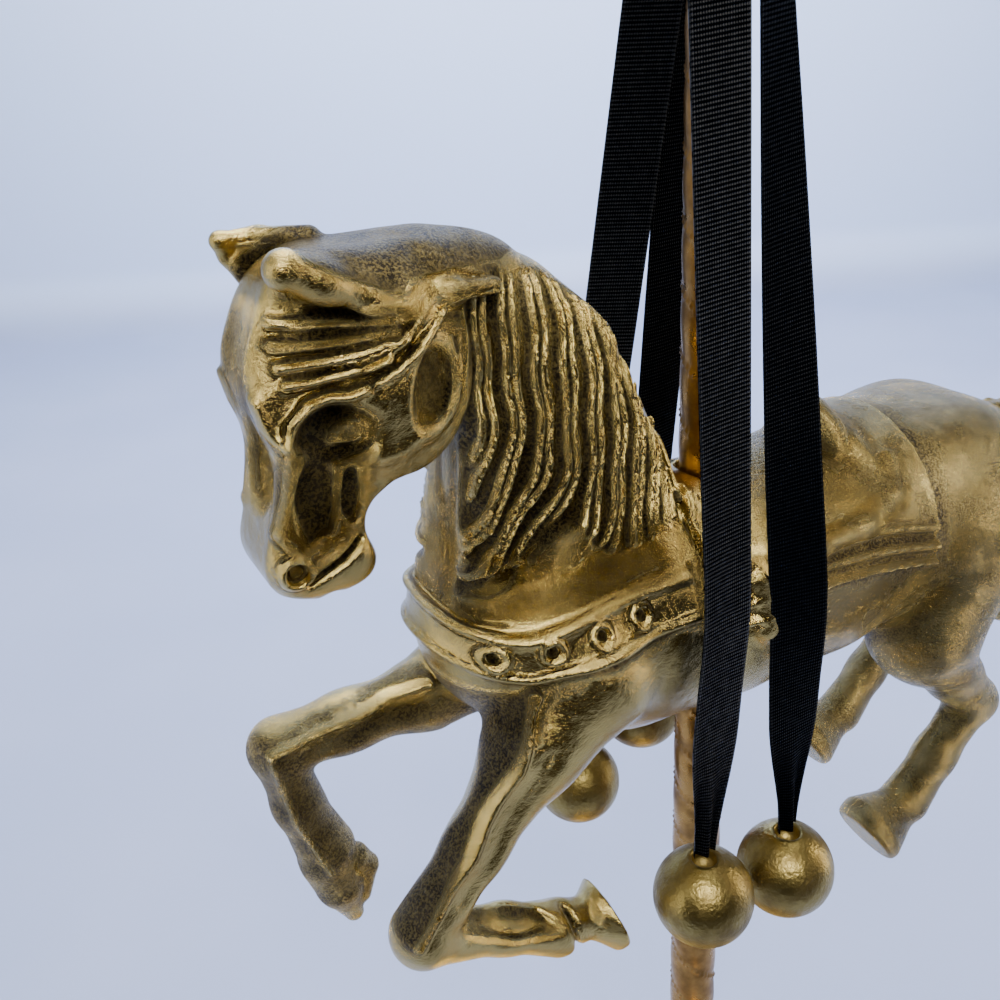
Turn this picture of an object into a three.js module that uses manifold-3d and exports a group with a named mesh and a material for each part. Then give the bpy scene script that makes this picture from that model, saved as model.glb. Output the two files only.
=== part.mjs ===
// Brass carousel horse: a jumping horse cast in one piece, threaded on a twisted pole that stands on a
// round foot. Four satin ribbons hang from the cap on the pole, each with a hollow brass ball on its end.
// Millimetres, +Z up. The horse faces -X and its left side faces -Y.
import * as THREE from 'three';
import { mergeVertices } from 'three/addons/utils/BufferGeometryUtils.js';
import Module from 'manifold-3d';

// ---- Driving dimensions ----
const SADDLE_HEIGHT = 197;      // from the table to the level where the pole enters the saddle
const POLE_RADIUS = 5;
const FIT_GAP = 0.35;           // clearance between touching pieces
const FOOT_RADIUS = 52;
const FOOT_HEIGHT = 12;
const SOCKET_DEPTH = 6;
const CAP_UNDERSIDE = 150;      // above the saddle level
const RIBBON_WIDTH = 9.5;
const RIBBON_THICKNESS = 0.6;
const RIBBON_DROP = 1;          // from the cap to a ribbon's slanted upper end
const BALL_RADIUS = 9;
const BALL_HOLE_RADIUS = 2.6;
const BALL_HOLE_DEPTH = 3;

const GRID_STEP = 1.2;          // spacing of the grid that the horse's surface is found on
const HORSE_TRIANGLES = 6600;
const HORSE_LOW = [-94, -28, -96];
const HORSE_HIGH = [94, 28, 62];

const brass = (color, roughness) => new THREE.MeshStandardMaterial({ color, roughness, metalness: 1 });
const satin = new THREE.MeshStandardMaterial({ color: 0x0b0d10, roughness: 0.6, metalness: 0 });

// ---- Signed distance fields: functions of (x, y, z), negative inside ----

function smoothMin(a, b, k) {
  const h = Math.max(k - Math.abs(a - b), 0) / k;
  return Math.min(a, b) - h * h * k / 4;
}

const smoothMax = (a, b, k) => -smoothMin(-a, -b, k);

function blend(k, ...fields) {
  return (x, y, z) => {
    let d = fields[0](x, y, z);
    for (let i = 1; i < fields.length; i++) d = smoothMin(d, fields[i](x, y, z), k);
    return d;
  };
}

const carve = (k, body, tool) => (x, y, z) => smoothMax(body(x, y, z), -tool(x, y, z), k);

const trim = (k, body, limit) => (x, y, z) => smoothMax(body(x, y, z), limit(x, y, z), k);

// A tapered rod with round ends, from knot a to knot b, each [x, y, z, radius].
function bone(a, b) {
  const [dx, dy, dz, dr] = b.map((v, i) => v - a[i]);
  const length2 = dx * dx + dy * dy + dz * dz;
  return (x, y, z) => {
    const px = x - a[0];
    const py = y - a[1];
    const pz = z - a[2];
    const t = Math.min(Math.max((px * dx + py * dy + pz * dz) / length2, 0), 1);
    return Math.hypot(px - t * dx, py - t * dy, pz - t * dz) - a[3] - t * dr;
  };
}

const limb = (k, ...knots) => blend(k, ...knots.slice(1).map((knot, i) => bone(knots[i], knot)));

// An ellipsoid with its half sizes, turned by tilt degrees about Y.
function pebble([cx, cy, cz], [a, b, c], tilt = 0) {
  const cos = Math.cos(THREE.MathUtils.degToRad(tilt));
  const sin = Math.sin(THREE.MathUtils.degToRad(tilt));
  return (x, y, z) => {
    const u = ((x - cx) * cos + (z - cz) * sin) / a;
    const v = (y - cy) / b;
    const w = ((z - cz) * cos - (x - cx) * sin) / c;
    const k0 = Math.hypot(u, v, w);
    const k1 = Math.hypot(u / a, v / b, w / c);
    return k1 < 1e-9 ? -Math.min(a, b, c) : k0 * (k0 - 1) / k1;
  };
}

// The half space on the inner side of a plane through point, whose outward direction is normal.
function halfSpace([px, py, pz], normal) {
  const size = Math.hypot(...normal);
  const [nx, ny, nz] = normal.map((v) => v / size);
  return (x, y, z) => (x - px) * nx + (y - py) * ny + (z - pz) * nz;
}

const narrow = (factor, field) => (x, y, z) => field(x, y / factor, z) * factor;

// Describes the left side, where y is negative, and repeats it on the right.
const bothSides = (field) => (x, y, z) => field(x, -Math.abs(y), z);

function smoothStep(low, high, v) {
  const t = Math.min(Math.max((v - low) / (high - low), 0), 1);
  return t * t * (3 - 2 * t);
}

// ---- The horse, with the saddle level at z = 0 ----

function torso() {
  const barrel = limb(8,
    [-36, 0, -14, 17.5], [-20, 0, -18, 19.5], [0, 0, -18.5, 20], [22, 0, -17.5, 20],
    [40, 0, -13.5, 19.5], [54, 0, -12, 19]);
  const chest = pebble([-39.5, 0, -11.5], [16.2, 18, 14.5], 18);
  const haunches = bothSides(pebble([52, -9, -16], [19, 11.5, 22], -20));
  return blend(6, narrow(0.94, barrel), chest, haunches);
}

function neck() {
  const column = limb(5,
    [-29.6, 0, -3, 21.5], [-32.2, 0, 13, 17.3], [-35.2, 0, 27, 14], [-41, 0, 35.5, 11], [-52, 0, 41, 10.5]);
  const throat = bothSides(limb(2, [-46, -6, 25, 3], [-47.3, -6.5, 8, 3.6], [-48.5, -7, -3, 4.6]));
  return blend(3, narrow(0.68, column), throat);
}

// A curve through [height, value] knots, rounded between them.
function profile(...knots) {
  return (z) => {
    if (z <= knots[0][0]) return knots[0][1];
    for (let i = 1; i < knots.length; i++) {
      const [z0, v0] = knots[i - 1];
      const [z1, v1] = knots[i];
      if (z > z1) continue;
      const [za, va] = knots[Math.max(i - 2, 0)];
      const [zb, vb] = knots[Math.min(i + 1, knots.length - 1)];
      const t = (z - z0) / (z1 - z0);
      const slope0 = (v1 - va) / (z1 - za) * (z1 - z0);
      const slope1 = (vb - v0) / (zb - z0) * (z1 - z0);
      const c = v1 - v0;
      const bend = 3 * c - 2 * slope0 - slope1;
      return v0 + t * (slope0 + t * (bend + t * (slope0 + slope1 - 2 * c)));
    }
    return knots[knots.length - 1][1];
  };
}

// The head hangs upright, so it is built from level slices: rounded boxes between the face and the jaw.
const faceLine = profile([3.5, -76.5], [6, -79.5], [10, -80.8], [16, -79.4], [24, -77.6], [30, -78.4],
  [37, -79.4], [43, -78.2], [48, -75.5], [51, -72], [53, -68]);
const jawLine = profile([3.5, -69], [5, -65.5], [8, -64.5], [13, -65.8], [17, -64.3], [20, -60.3],
  [23, -56.3], [28, -51.5], [34, -49.3], [43, -48], [50, -48], [53, -50]);
const headHalfWidth = profile([3.5, 6.5], [6, 8], [10, 8.8], [16, 8], [22, 8.8], [27, 9.8], [34, 9.8],
  [42, 9.4], [48, 8.6], [53, 7]);
const headCorner = profile([3.5, 4], [10, 3], [17, 2], [27, 2.2], [36, 3.4], [44, 6], [53, 6]);

function skull(x, y, z) {
  const level = Math.min(Math.max(z, 3.5), 53);
  const face = faceLine(level);
  const jaw = jawLine(level);
  const corner = headCorner(level);
  const u = Math.abs(x - (face + jaw) / 2) - (jaw - face) / 2 + corner;
  const v = Math.abs(y) - headHalfWidth(level) + corner;
  const slice = Math.hypot(Math.max(u, 0), Math.max(v, 0)) + Math.min(Math.max(u, v), 0) - corner;
  return smoothMax(slice, Math.abs(z - 27.4) - 24.6, 3) * 0.85;
}

// Distance in the side view from (x, z) to the line through the knots.
function pathDistance(x, z, knots) {
  let best = Infinity;
  for (let i = 1; i < knots.length; i++) {
    const [x0, z0] = knots[i - 1];
    const dx = knots[i][0] - x0;
    const dz = knots[i][1] - z0;
    const t = Math.min(Math.max(((x - x0) * dx + (z - z0) * dz) / (dx * dx + dz * dz), 0), 1);
    best = Math.min(best, Math.hypot(x - x0 - t * dx, z - z0 - t * dz));
  }
  return best;
}

// Relief along a line in the side view: a ridge, or a groove where height is negative.
function welt(height, width, ...knots) {
  return (x, z) => height * Math.exp(-((pathDistance(x, z, knots) / width) ** 2));
}

// Relief over an oval in the side view: a boss, or a hollow where height is negative.
function dish(height, [cx, cz], [a, c], tilt = 0, edge = 0.3) {
  const cos = Math.cos(THREE.MathUtils.degToRad(tilt));
  const sin = Math.sin(THREE.MathUtils.degToRad(tilt));
  return (x, z) => {
    const u = ((x - cx) * cos + (z - cz) * sin) / a;
    const w = ((z - cz) * cos - (x - cx) * sin) / c;
    return height * (1 - smoothStep(1 - edge, 1 + edge, Math.hypot(u, w)));
  };
}

const total = (reliefs, x, z) => reliefs.reduce((sum, relief) => sum + relief(x, z), 0);

const HEAD_RELIEF = [
  // Locks of the forelock, combed back across the temple
  dish(-0.7, [-69, 40], [9.5, 6.5]),
  welt(1.15, 0.75, [-75.8, 44.4], [-69, 43.6], [-61, 43]),
  welt(1.15, 0.75, [-76, 41.6], [-68.4, 41], [-60.5, 41.8]),
  welt(1.15, 0.75, [-75.8, 38.9], [-70, 38.6], [-64.6, 39.2], [-59.5, 40.6]),
  welt(1.1, 0.7, [-75.2, 36.5], [-71.3, 36.3], [-67.2, 36.9], [-62, 38]),
  // The plaited lock that runs from the poll to the eye
  welt(1, 0.5, [-54.5, 45], [-57, 42.6], [-59.4, 40.4], [-62, 38.4], [-65, 37.4]),
  welt(1, 0.5, [-53, 43], [-55.4, 40.8], [-57.8, 38.6], [-60.4, 36.6], [-63.6, 35.2]),
  // Brow, eye and the hollow around it
  welt(1.2, 0.8, [-76.4, 29], [-75.2, 31.8], [-72.8, 33.5], [-70, 34.1], [-67.5, 33.9], [-65.4, 34.6]),
  dish(-2.4, [-69.4, 28.8], [5.4, 3.7], 8),
  dish(1.7, [-67.9, 28.6], [2.5, 1.9], 8, 0.6),
  // Cheek bone, the hollow side of the nose and its small ridge
  welt(0.9, 0.8, [-79.4, 35], [-78.3, 31], [-76, 27.6], [-76.4, 24.5], [-77.2, 20.7], [-78.4, 16.5]),
  dish(-1.9, [-72.8, 20.2], [2.7, 6.2], -10),
  welt(0.8, 0.6, [-69.8, 24.6], [-69.7, 21], [-70.1, 17.5], [-71.2, 14.8]),
  dish(-1.6, [-67.9, 19.2], [1.5, 3.9], -4),
  // Jaw, with the round plate on it
  welt(0.6, 1.3, [-64.4, 24.4], [-61, 25], [-56.4, 27.4], [-52.6, 31], [-50.4, 36.8], [-49.5, 42.5]),
  dish(0.45, [-56, 33], [4.2, 7.4], -14, 0.15),
  dish(-1.5, [-56, 33], [3, 6], -14, 0.25),
  welt(-0.5, 0.4, [-51.8, 39], [-51.6, 30.6]),
  // Nostril, lips and chin
  dish(1.1, [-77.2, 10], [2.6, 2.6]),
  dish(-1.7, [-77.2, 10], [1.5, 1.5]),
  welt(0.8, 0.7, [-79, 16], [-77.4, 13.6], [-75.8, 12.6], [-74, 13], [-72.4, 14.4]),
  welt(-1.4, 0.6, [-75.4, 7.6], [-72.6, 8.8], [-70.4, 9.9], [-67.4, 12.2]),
  welt(0.6, 0.7, [-74.8, 10.2], [-72.2, 11.2], [-69.6, 12.4]),
];

const noseHollow = dish(-1.1, [0, 23.5], [5.2, 6.5], 0, 0.2);
const foreheadHollow = dish(-0.6, [0, 42], [5, 8]);

// Relief on both sides of the head, and the sunk panels down its front.
function faceRelief(x, y, z) {
  const side = smoothStep(5.5, 7.5, Math.abs(y));
  const front = 1 - smoothStep(1.5, 3.5, x - faceLine(z));
  const panels = noseHollow(y, z) + foreheadHollow(y, z);
  return total(HEAD_RELIEF, x, z) * side + front * (1 - side) * panels;
}

function head() {
  const jowl = bothSides(pebble([-59.3, -7.8, 33.5], [11, 4.6, 13.5], -8));
  const chin = pebble([-68, 0, 8.2], [2.6, 5.5, 2.6]);
  const shape = blend(1.2, skull, jowl, chin);
  return (x, y, z) => shape(x, y, z) - faceRelief(x, y, z);
}

// Laid back, so that its smooth outer side and its rolled edge show.
function nearEar() {
  const shell = limb(2, [-70.5, -8.2, 50.6, 2.6], [-62, -7.2, 47.4, 4.4]);
  const edge = limb(1.5,
    [-76.2, -11, 51.4, 2.6], [-71.6, -11.3, 49.4, 2.2],
    [-66.6, -11.2, 46.9, 1.7], [-61.5, -10.9, 44.7, 1.2]);
  const plate = limb(1, [-62, -10, 46, 1.5], [-55, -9.8, 45.7, 1.6], [-47.4, -9, 44.9, 1.3]);
  return blend(1.5, shell, edge, plate);
}

// Turned to show its hollow inside, within a rolled edge.
function farEar() {
  const rim = limb(1, [-64.6, 6.5, 51.8, 1.6], [-71, 8.2, 53, 1.2], [-77.4, 9.2, 53.2, 1.2],
    [-76.4, 9.6, 50.6, 1.1], [-73.4, 9.2, 47.2, 1.4]);
  const back = pebble([-71, 9.6, 50.2], [5, 1.6, 3.4], -8);
  const root = bone([-66, 7.4, 48.5, 3.4], [-60, 7, 46.5, 4.4]);
  const plate = limb(1, [-62, 10, 46, 1.5], [-55, 9.8, 45.7, 1.6], [-47.4, 9, 44.9, 1.3]);
  return blend(1, rim, back, root, plate);
}

// Long strands that fall from the crest of the neck and swing forward over the shoulder.
function maneStrands(x, y, z) {
  const top = 1 - smoothStep(43, 47, z);
  const front = smoothStep(-50, -47, x - 0.012 * Math.max(z - 20, 0) ** 2);
  const hem = smoothStep(-6, 0, z - 0.25 * (x + 45));
  const sweep = x - 0.1 * z - 0.012 * Math.max(24 - z, 0) ** 2;
  const offCrest = smoothStep(1, 5, Math.abs(y));
  return top * front * hem * offCrest * 0.85 * Math.cos(2 * Math.PI * sweep / 4.4);
}

function manedNeck() {
  const plain = neck();
  return (x, y, z) => plain(x, y, z) - maneStrands(x, y, z);
}

function collarHeight(x) {
  const front = -10.3 + 2.2 * ((x + 46) / 10) ** 2;
  const side = -10.3 + 2.8 * (1 - Math.exp(-Math.max(x + 46, 0) / 12));
  return x < -46 ? front : side;
}

// The breast strap: a band that stands off the body's surface, rolled at its upper and lower edge.
function collar(surface, x, z) {
  const v = z - collarHeight(x);
  const rolls = 0.8 * Math.exp(-(((Math.abs(v) - 3) / 0.8) ** 2));
  return Math.max(surface - 1.2 - rolls, Math.abs(v) - 3.8, x + 16.5);
}

const STUDS = [[-51.1, -9.8], [-43.3, -9], [-35.3, -8.4], [-27.4, -7.9]];

// A raised ring around each stud of the breast strap.
function studRelief(x, y, z) {
  const rings = STUDS.map(([cx, cz]) => {
    const d = Math.hypot(x - cx, z - cz);
    return 0.9 * Math.exp(-(((d - 1.6) / 0.5) ** 2)) - 0.7 * Math.exp(-((d / 0.8) ** 4));
  });
  return rings.reduce((sum, ring) => sum + ring, 0) * smoothStep(7, 10, Math.abs(y));
}

// A low seat around the pole, and a high rounded cantle in front of a broader pad.
function saddle() {
  const seat = limb(5, [-6, 0, -10.5, 12], [8, 0, -11.5, 12], [20, 0, -9, 12.5]);
  const cantle = pebble([24.5, 0, 0], [5.6, 10.5, 14.5], 16);
  const pad = pebble([28.5, 0, -4], [6.5, 15, 13.5], 14);
  const roll = bothSides(limb(2,
    [31, -12, 2, 2], [28.5, -16, -3, 2.2], [20, -18, -6, 2.2], [8, -18.8, -7, 2], [-7, -17.6, -5.5, 2]));
  return blend(0.8, narrow(1.25, seat), cantle, pad, roll);
}

// The blanket under the saddle, a second skin on the back with rolled rows along its hem.
function blanket(surface, x, z) {
  const above = z + 13.5 + 0.005 * (x - 12) ** 2;
  const rows = 0.6 * Math.cos(2 * Math.PI * above / 3.6) * (1 - smoothStep(6, 9, above));
  return Math.max(surface - 1.2 - rows, -above, -12 - x, x - 36);
}

function stirrup() {
  return bothSides(limb(1.5, [-4.5, -19.4, -8, 2.2], [-3, -20, -17, 2.6], [-1, -19.2, -23, 1.6]));
}

function nearForeleg() {
  const flesh = limb(4,
    [-34, -11, -20, 12.5], [-43.5, -12.5, -29, 8], [-56, -13.5, -44, 4.6], [-67, -14, -56.5, 5.4]);
  const cannon = limb(3, [-66.5, -14, -58, 4.8], [-52, -13.4, -64.5, 3.9], [-41.5, -13, -70.4, 5]);
  const pastern = bone([-41, -13, -70, 3.8], [-33.5, -13, -71.5, 3.2]);
  const hoof = trim(0.8, limb(1, [-36, -13, -71.2, 3.4], [-31.2, -13, -71.5, 7.4]),
    halfSpace([-30.6, -13, -72], [1, 0, 0.32]));
  return blend(2, flesh, cannon, pastern, hoof);
}

function farForeleg() {
  const flesh = limb(4, [-38, 10, -24, 12], [-52, 11, -30, 6], [-67, 12, -31, 4.7], [-79, 12, -31.5, 5.2]);
  const cannon = limb(3, [-79.3, 12, -32, 4.8], [-76.4, 12, -44, 3.3], [-72.6, 12, -55.5, 4.6]);
  const hoof = trim(0.8, limb(1, [-72.2, 12, -58, 3.6], [-70.4, 12, -66.5, 6]),
    halfSpace([-68.6, 12, -69.4], [0.72, 0, -0.7]));
  return blend(2, flesh, cannon, hoof);
}

const NEAR_LEG_RELIEF = [
  welt(1.7, 1, [-46, -17], [-50.6, -28], [-58.7, -40.9], [-64.6, -48.2], [-69.8, -54.2]),
  welt(-0.8, 1.6, [-45.5, -27], [-54.6, -42], [-61, -49.5]),
  welt(-0.8, 1.6, [-53, -24], [-61, -38.5], [-67.5, -46.5]),
  dish(-1.5, [-51.5, -62], [9, 1.9], -29, 0.35),
];
const FAR_LEG_RELIEF = [
  welt(1.3, 0.9, [-54, -24.5], [-66, -27], [-82, -29]),
  welt(-0.6, 1.6, [-56, -28.5], [-76, -31.5]),
  welt(0.9, 0.9, [-82, -30], [-79.5, -44], [-75, -57]),
];

function legRelief(x, y, z) {
  const near = total(NEAR_LEG_RELIEF, x, z) * smoothStep(11.5, 14.5, -y);
  const far = total(FAR_LEG_RELIEF, x, z) * smoothStep(2, 4, y) * smoothStep(-13, -11, -y);
  return near + far;
}

// A hind leg, tucked forward under the belly; side is -1 on the left and 1 on the right.
function hindLeg(side, forward, lift) {
  const place = (x, y, z, r) => [x - forward, side * y, z + lift, r];
  const thigh = limb(6, [56, side * 11, -18, 15], place(49, 13, -38, 9.5), place(60, 13, -52, 6));
  const gaskin = limb(3, place(60, 13, -52, 5.6), place(67.5, 13, -61, 5.2));
  const cannon = limb(3, place(67.5, 13, -61, 4.6), place(58, 13, -72, 4), place(50.5, 13, -80.5, 5));
  const ridge = bone(place(71.5, 13, -60, 1.4), place(55, 13.5, -79, 1));
  const hoof = trim(1, limb(1, place(49, 13, -81.5, 4), place(41, 13, -84, 7.4)),
    halfSpace(place(38.5, 13, -85, 0), [-0.85, 0, -0.52]));
  return blend(2, thigh, gaskin, cannon, ridge, hoof);
}

function tail() {
  const lock = narrow(0.75, limb(4, [68, 0, -4, 6], [77, 0, -8, 7], [82, 0, -22, 7.5], [83, 0, -38, 6.5],
    [87, 0, -52, 3.5]));
  const groove = (x, y, z) => smoothStep(0.5, 3, Math.abs(y)) * Math.cos(Math.PI * (x + 0.25 * z) / 2);
  return (x, y, z) => lock(x, y, z) - 0.6 * groove(x, y, z);
}

function horseField() {
  const forelegs = blend(3, nearForeleg(), farForeleg());
  const body = blend(3, torso(), manedNeck(), forelegs, hindLeg(-1, 4, 0), hindLeg(1, -2, 5));
  const fittings = blend(1.2, saddle(), stirrup(), tail());
  const front = blend(1.2, head(), blend(0.6, nearEar(), farEar()));
  return (x, y, z) => {
    const surface = body(x, y, z) - legRelief(x, y, z);
    const strap = collar(surface, x, z) - studRelief(x, y, z);
    const straps = Math.min(strap, blanket(surface, x, z));
    const dressed = smoothMin(smoothMin(surface, straps, 0.8), fittings(x, y, z), 1.2);
    return smoothMin(dressed, front(x, y, z), 1.5);
  };
}

// ---- From a field to a closed mesh of triangles ----

// Samples the field on a grid, and leaves out the blocks that are far from the surface.
function sampleField(field, low, high, step) {
  const count = low.map((v, i) => Math.ceil((high[i] - v) / step) + 1);
  const [nx, ny, nz] = count;
  const values = new Float64Array(nx * ny * nz);
  const block = 4;
  const reach = 0.5 * block * step * Math.sqrt(3) * 2.2;
  const at = (i, axis) => low[axis] + i * step;
  for (let k0 = 0; k0 < nz; k0 += block) {
    for (let j0 = 0; j0 < ny; j0 += block) {
      for (let i0 = 0; i0 < nx; i0 += block) {
        const middle = field(at(i0 + 1.5, 0), at(j0 + 1.5, 1), at(k0 + 1.5, 2));
        const far = Math.abs(middle) > reach;
        for (let k = k0; k < Math.min(k0 + block, nz); k++) {
          for (let j = j0; j < Math.min(j0 + block, ny); j++) {
            for (let i = i0; i < Math.min(i0 + block, nx); i++) {
              values[i + nx * (j + ny * k)] = far ? middle : field(at(i, 0), at(j, 1), at(k, 2));
            }
          }
        }
      }
    }
  }
  return { values, count, low, step };
}

const CUBE_CORNERS = [0, 1, 2, 3, 4, 5, 6, 7].map((c) => [c & 1, (c >> 1) & 1, (c >> 2) & 1]);

// Whether the chosen corners of a cube hang together along its edges.
function cornersTogether(chosen) {
  const left = new Set(CUBE_CORNERS.keys().filter((c) => chosen & (1 << c)));
  const queue = [...left].slice(0, 1);
  while (queue.length) {
    const corner = queue.pop();
    if (!left.delete(corner)) continue;
    queue.push(...[1, 2, 4].map((bit) => corner ^ bit).filter((c) => left.has(c)));
  }
  return left.size === 0;
}

const singleSheet = (signs) => cornersTogether(signs) && cornersTogether(255 - signs);
const SINGLE_SHEET = Array.from({ length: 256 }, (_, signs) => singleSheet(signs));

// Changes the weakest corner of each cell that two sheets of the surface would share, until none is left.
function partSheets(grid) {
  const { values, count: [nx, ny, nz] } = grid;
  const offsets = CUBE_CORNERS.map(([i, j, k]) => i + nx * (j + ny * k));
  for (let round = 0, changed = true; changed && round < 20; round++) {
    changed = false;
    for (let k = 0; k < nz - 1; k++) {
      for (let j = 0; j < ny - 1; j++) {
        for (let i = 0; i < nx - 1; i++) {
          const corners = offsets.map((offset) => offset + i + nx * (j + ny * k));
          const signs = corners.reduce((sum, c, bit) => sum + (values[c] < 0 ? 1 << bit : 0), 0);
          if (SINGLE_SHEET[signs]) continue;
          const weakest = corners.reduce((a, b) => (Math.abs(values[b]) < Math.abs(values[a]) ? b : a));
          values[weakest] = values[weakest] < 0 ? 0.01 : -0.01;
          changed = true;
        }
      }
    }
  }
  return grid;
}

// Surface nets: one vertex in each cell that the surface crosses, and one quad across each crossed edge.
function surfaceNet({ values, count: [nx, ny, nz], low, step }) {
  const positions = [];
  const faces = [];
  const cellVertex = new Int32Array(nx * ny * nz).fill(-1);
  const stride = [1, nx, nx * ny];
  const edges = [];
  for (let a = 0; a < 8; a++) {
    for (const bit of [1, 2, 4]) if (!(a & bit)) edges.push([a, a | bit]);
  }
  const cornerOffset = CUBE_CORNERS.map(([i, j, k]) => i + nx * (j + ny * k));
  for (let k = 0; k < nz - 1; k++) {
    for (let j = 0; j < ny - 1; j++) {
      for (let i = 0; i < nx - 1; i++) {
        const base = i + nx * (j + ny * k);
        const sum = [0, 0, 0];
        let crossings = 0;
        for (const [a, b] of edges) {
          const va = values[base + cornerOffset[a]];
          const vb = values[base + cornerOffset[b]];
          if ((va < 0) === (vb < 0)) continue;
          const t = va / (va - vb);
          for (let axis = 0; axis < 3; axis++) {
            sum[axis] += CUBE_CORNERS[a][axis] + t * (CUBE_CORNERS[b][axis] - CUBE_CORNERS[a][axis]);
          }
          crossings++;
        }
        if (!crossings) continue;
        cellVertex[base] = positions.length / 3;
        const cell = [i, j, k];
        for (let axis = 0; axis < 3; axis++) {
          positions.push(low[axis] + (cell[axis] + sum[axis] / crossings) * step);
        }
      }
    }
  }
  for (let k = 1; k < nz - 1; k++) {
    for (let j = 1; j < ny - 1; j++) {
      for (let i = 1; i < nx - 1; i++) {
        const base = i + nx * (j + ny * k);
        const inside = values[base] < 0;
        for (let axis = 0; axis < 3; axis++) {
          if (inside === (values[base + stride[axis]] < 0)) continue;
          const u = stride[(axis + 1) % 3];
          const v = stride[(axis + 2) % 3];
          const quad = [base - u - v, base - v, base, base - u].map((c) => cellVertex[c]);
          if (!inside) quad.reverse();
          faces.push([quad[0], quad[1], quad[2]], [quad[0], quad[2], quad[3]]);
        }
      }
    }
  }
  return { positions: Float64Array.from(positions), faces };
}

// Moves each vertex along the field's slope onto the surface.
function settleOnField(mesh, field, rounds = 2) {
  const { positions } = mesh;
  const h = 0.05;
  for (let p = 0; p < positions.length; p += 3) {
    for (let round = 0; round < rounds; round++) {
      const [x, y, z] = positions.subarray(p, p + 3);
      const d = field(x, y, z);
      const g = [field(x + h, y, z) - d, field(x, y + h, z) - d, field(x, y, z + h) - d].map((v) => v / h);
      const slope2 = Math.max(g[0] ** 2 + g[1] ** 2 + g[2] ** 2, 0.2);
      const move = Math.max(Math.min(d / slope2, 0.3), -0.3) * 0.6;
      for (let axis = 0; axis < 3; axis++) positions[p + axis] -= move * g[axis];
    }
  }
  return mesh;
}

// ---- Fewer triangles: edges collapse in the order of the quadric error that they cost ----

class Heap {
  constructor() {
    this.items = [];
  }

  push(item) {
    const a = this.items;
    let i = a.push(item) - 1;
    while (i > 0) {
      const parent = (i - 1) >> 1;
      if (a[parent].cost <= item.cost) break;
      a[i] = a[parent];
      i = parent;
    }
    a[i] = item;
  }

  pop() {
    const a = this.items;
    const top = a[0];
    const last = a.pop();
    let i = 0;
    while (a.length) {
      let child = 2 * i + 1;
      if (child >= a.length) break;
      if (child + 1 < a.length && a[child + 1].cost < a[child].cost) child++;
      if (a[child].cost >= last.cost) break;
      a[i] = a[child];
      i = child;
    }
    if (a.length) a[i] = last;
    return top;
  }
}

function triangleNormal(p, q, r) {
  const a = [q[0] - p[0], q[1] - p[1], q[2] - p[2]];
  const b = [r[0] - p[0], r[1] - p[1], r[2] - p[2]];
  return [a[1] * b[2] - a[2] * b[1], a[2] * b[0] - a[0] * b[2], a[0] * b[1] - a[1] * b[0]];
}

// The symmetric 4 x 4 matrix of a plane, as ten numbers.
function planeQuadric(p, q, r) {
  const n = triangleNormal(p, q, r);
  const area2 = Math.hypot(...n);
  if (area2 < 1e-12) return new Float64Array(10);
  const [a, b, c] = n.map((v) => v / area2);
  const d = -(a * p[0] + b * p[1] + c * p[2]);
  const terms = [a * a, a * b, a * c, a * d, b * b, b * c, b * d, c * c, c * d, d * d];
  return Float64Array.from(terms, (v) => v * area2);
}

function quadricError(q, [x, y, z]) {
  return q[0] * x * x + 2 * q[1] * x * y + 2 * q[2] * x * z + 2 * q[3] * x + q[4] * y * y
    + 2 * q[5] * y * z + 2 * q[6] * y + q[7] * z * z + 2 * q[8] * z + q[9];
}

// The place where the quadric's error is least, or the better of a few points where it has none.
function bestPlace(q, p, r) {
  const det = q[0] * (q[4] * q[7] - q[5] * q[5]) - q[1] * (q[1] * q[7] - q[5] * q[2])
    + q[2] * (q[1] * q[5] - q[4] * q[2]);
  const middle = p.map((v, i) => (v + r[i]) / 2);
  const span = Math.hypot(p[0] - r[0], p[1] - r[1], p[2] - r[2]);
  if (Math.abs(det) > 1e-6) {
    const x = -(q[3] * (q[4] * q[7] - q[5] * q[5]) - q[1] * (q[6] * q[7] - q[5] * q[8])
      + q[2] * (q[6] * q[5] - q[4] * q[8])) / det;
    const y = -(q[0] * (q[6] * q[7] - q[8] * q[5]) - q[3] * (q[1] * q[7] - q[5] * q[2])
      + q[2] * (q[1] * q[8] - q[6] * q[2])) / det;
    const z = -(q[0] * (q[4] * q[8] - q[5] * q[6]) - q[1] * (q[1] * q[8] - q[6] * q[2])
      + q[3] * (q[1] * q[5] - q[4] * q[2])) / det;
    if (Math.hypot(x - middle[0], y - middle[1], z - middle[2]) < 2 * span) return [x, y, z];
  }
  return [middle, p, r].reduce((best, c) => (quadricError(q, c) < quadricError(q, best) ? c : best));
}

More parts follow.
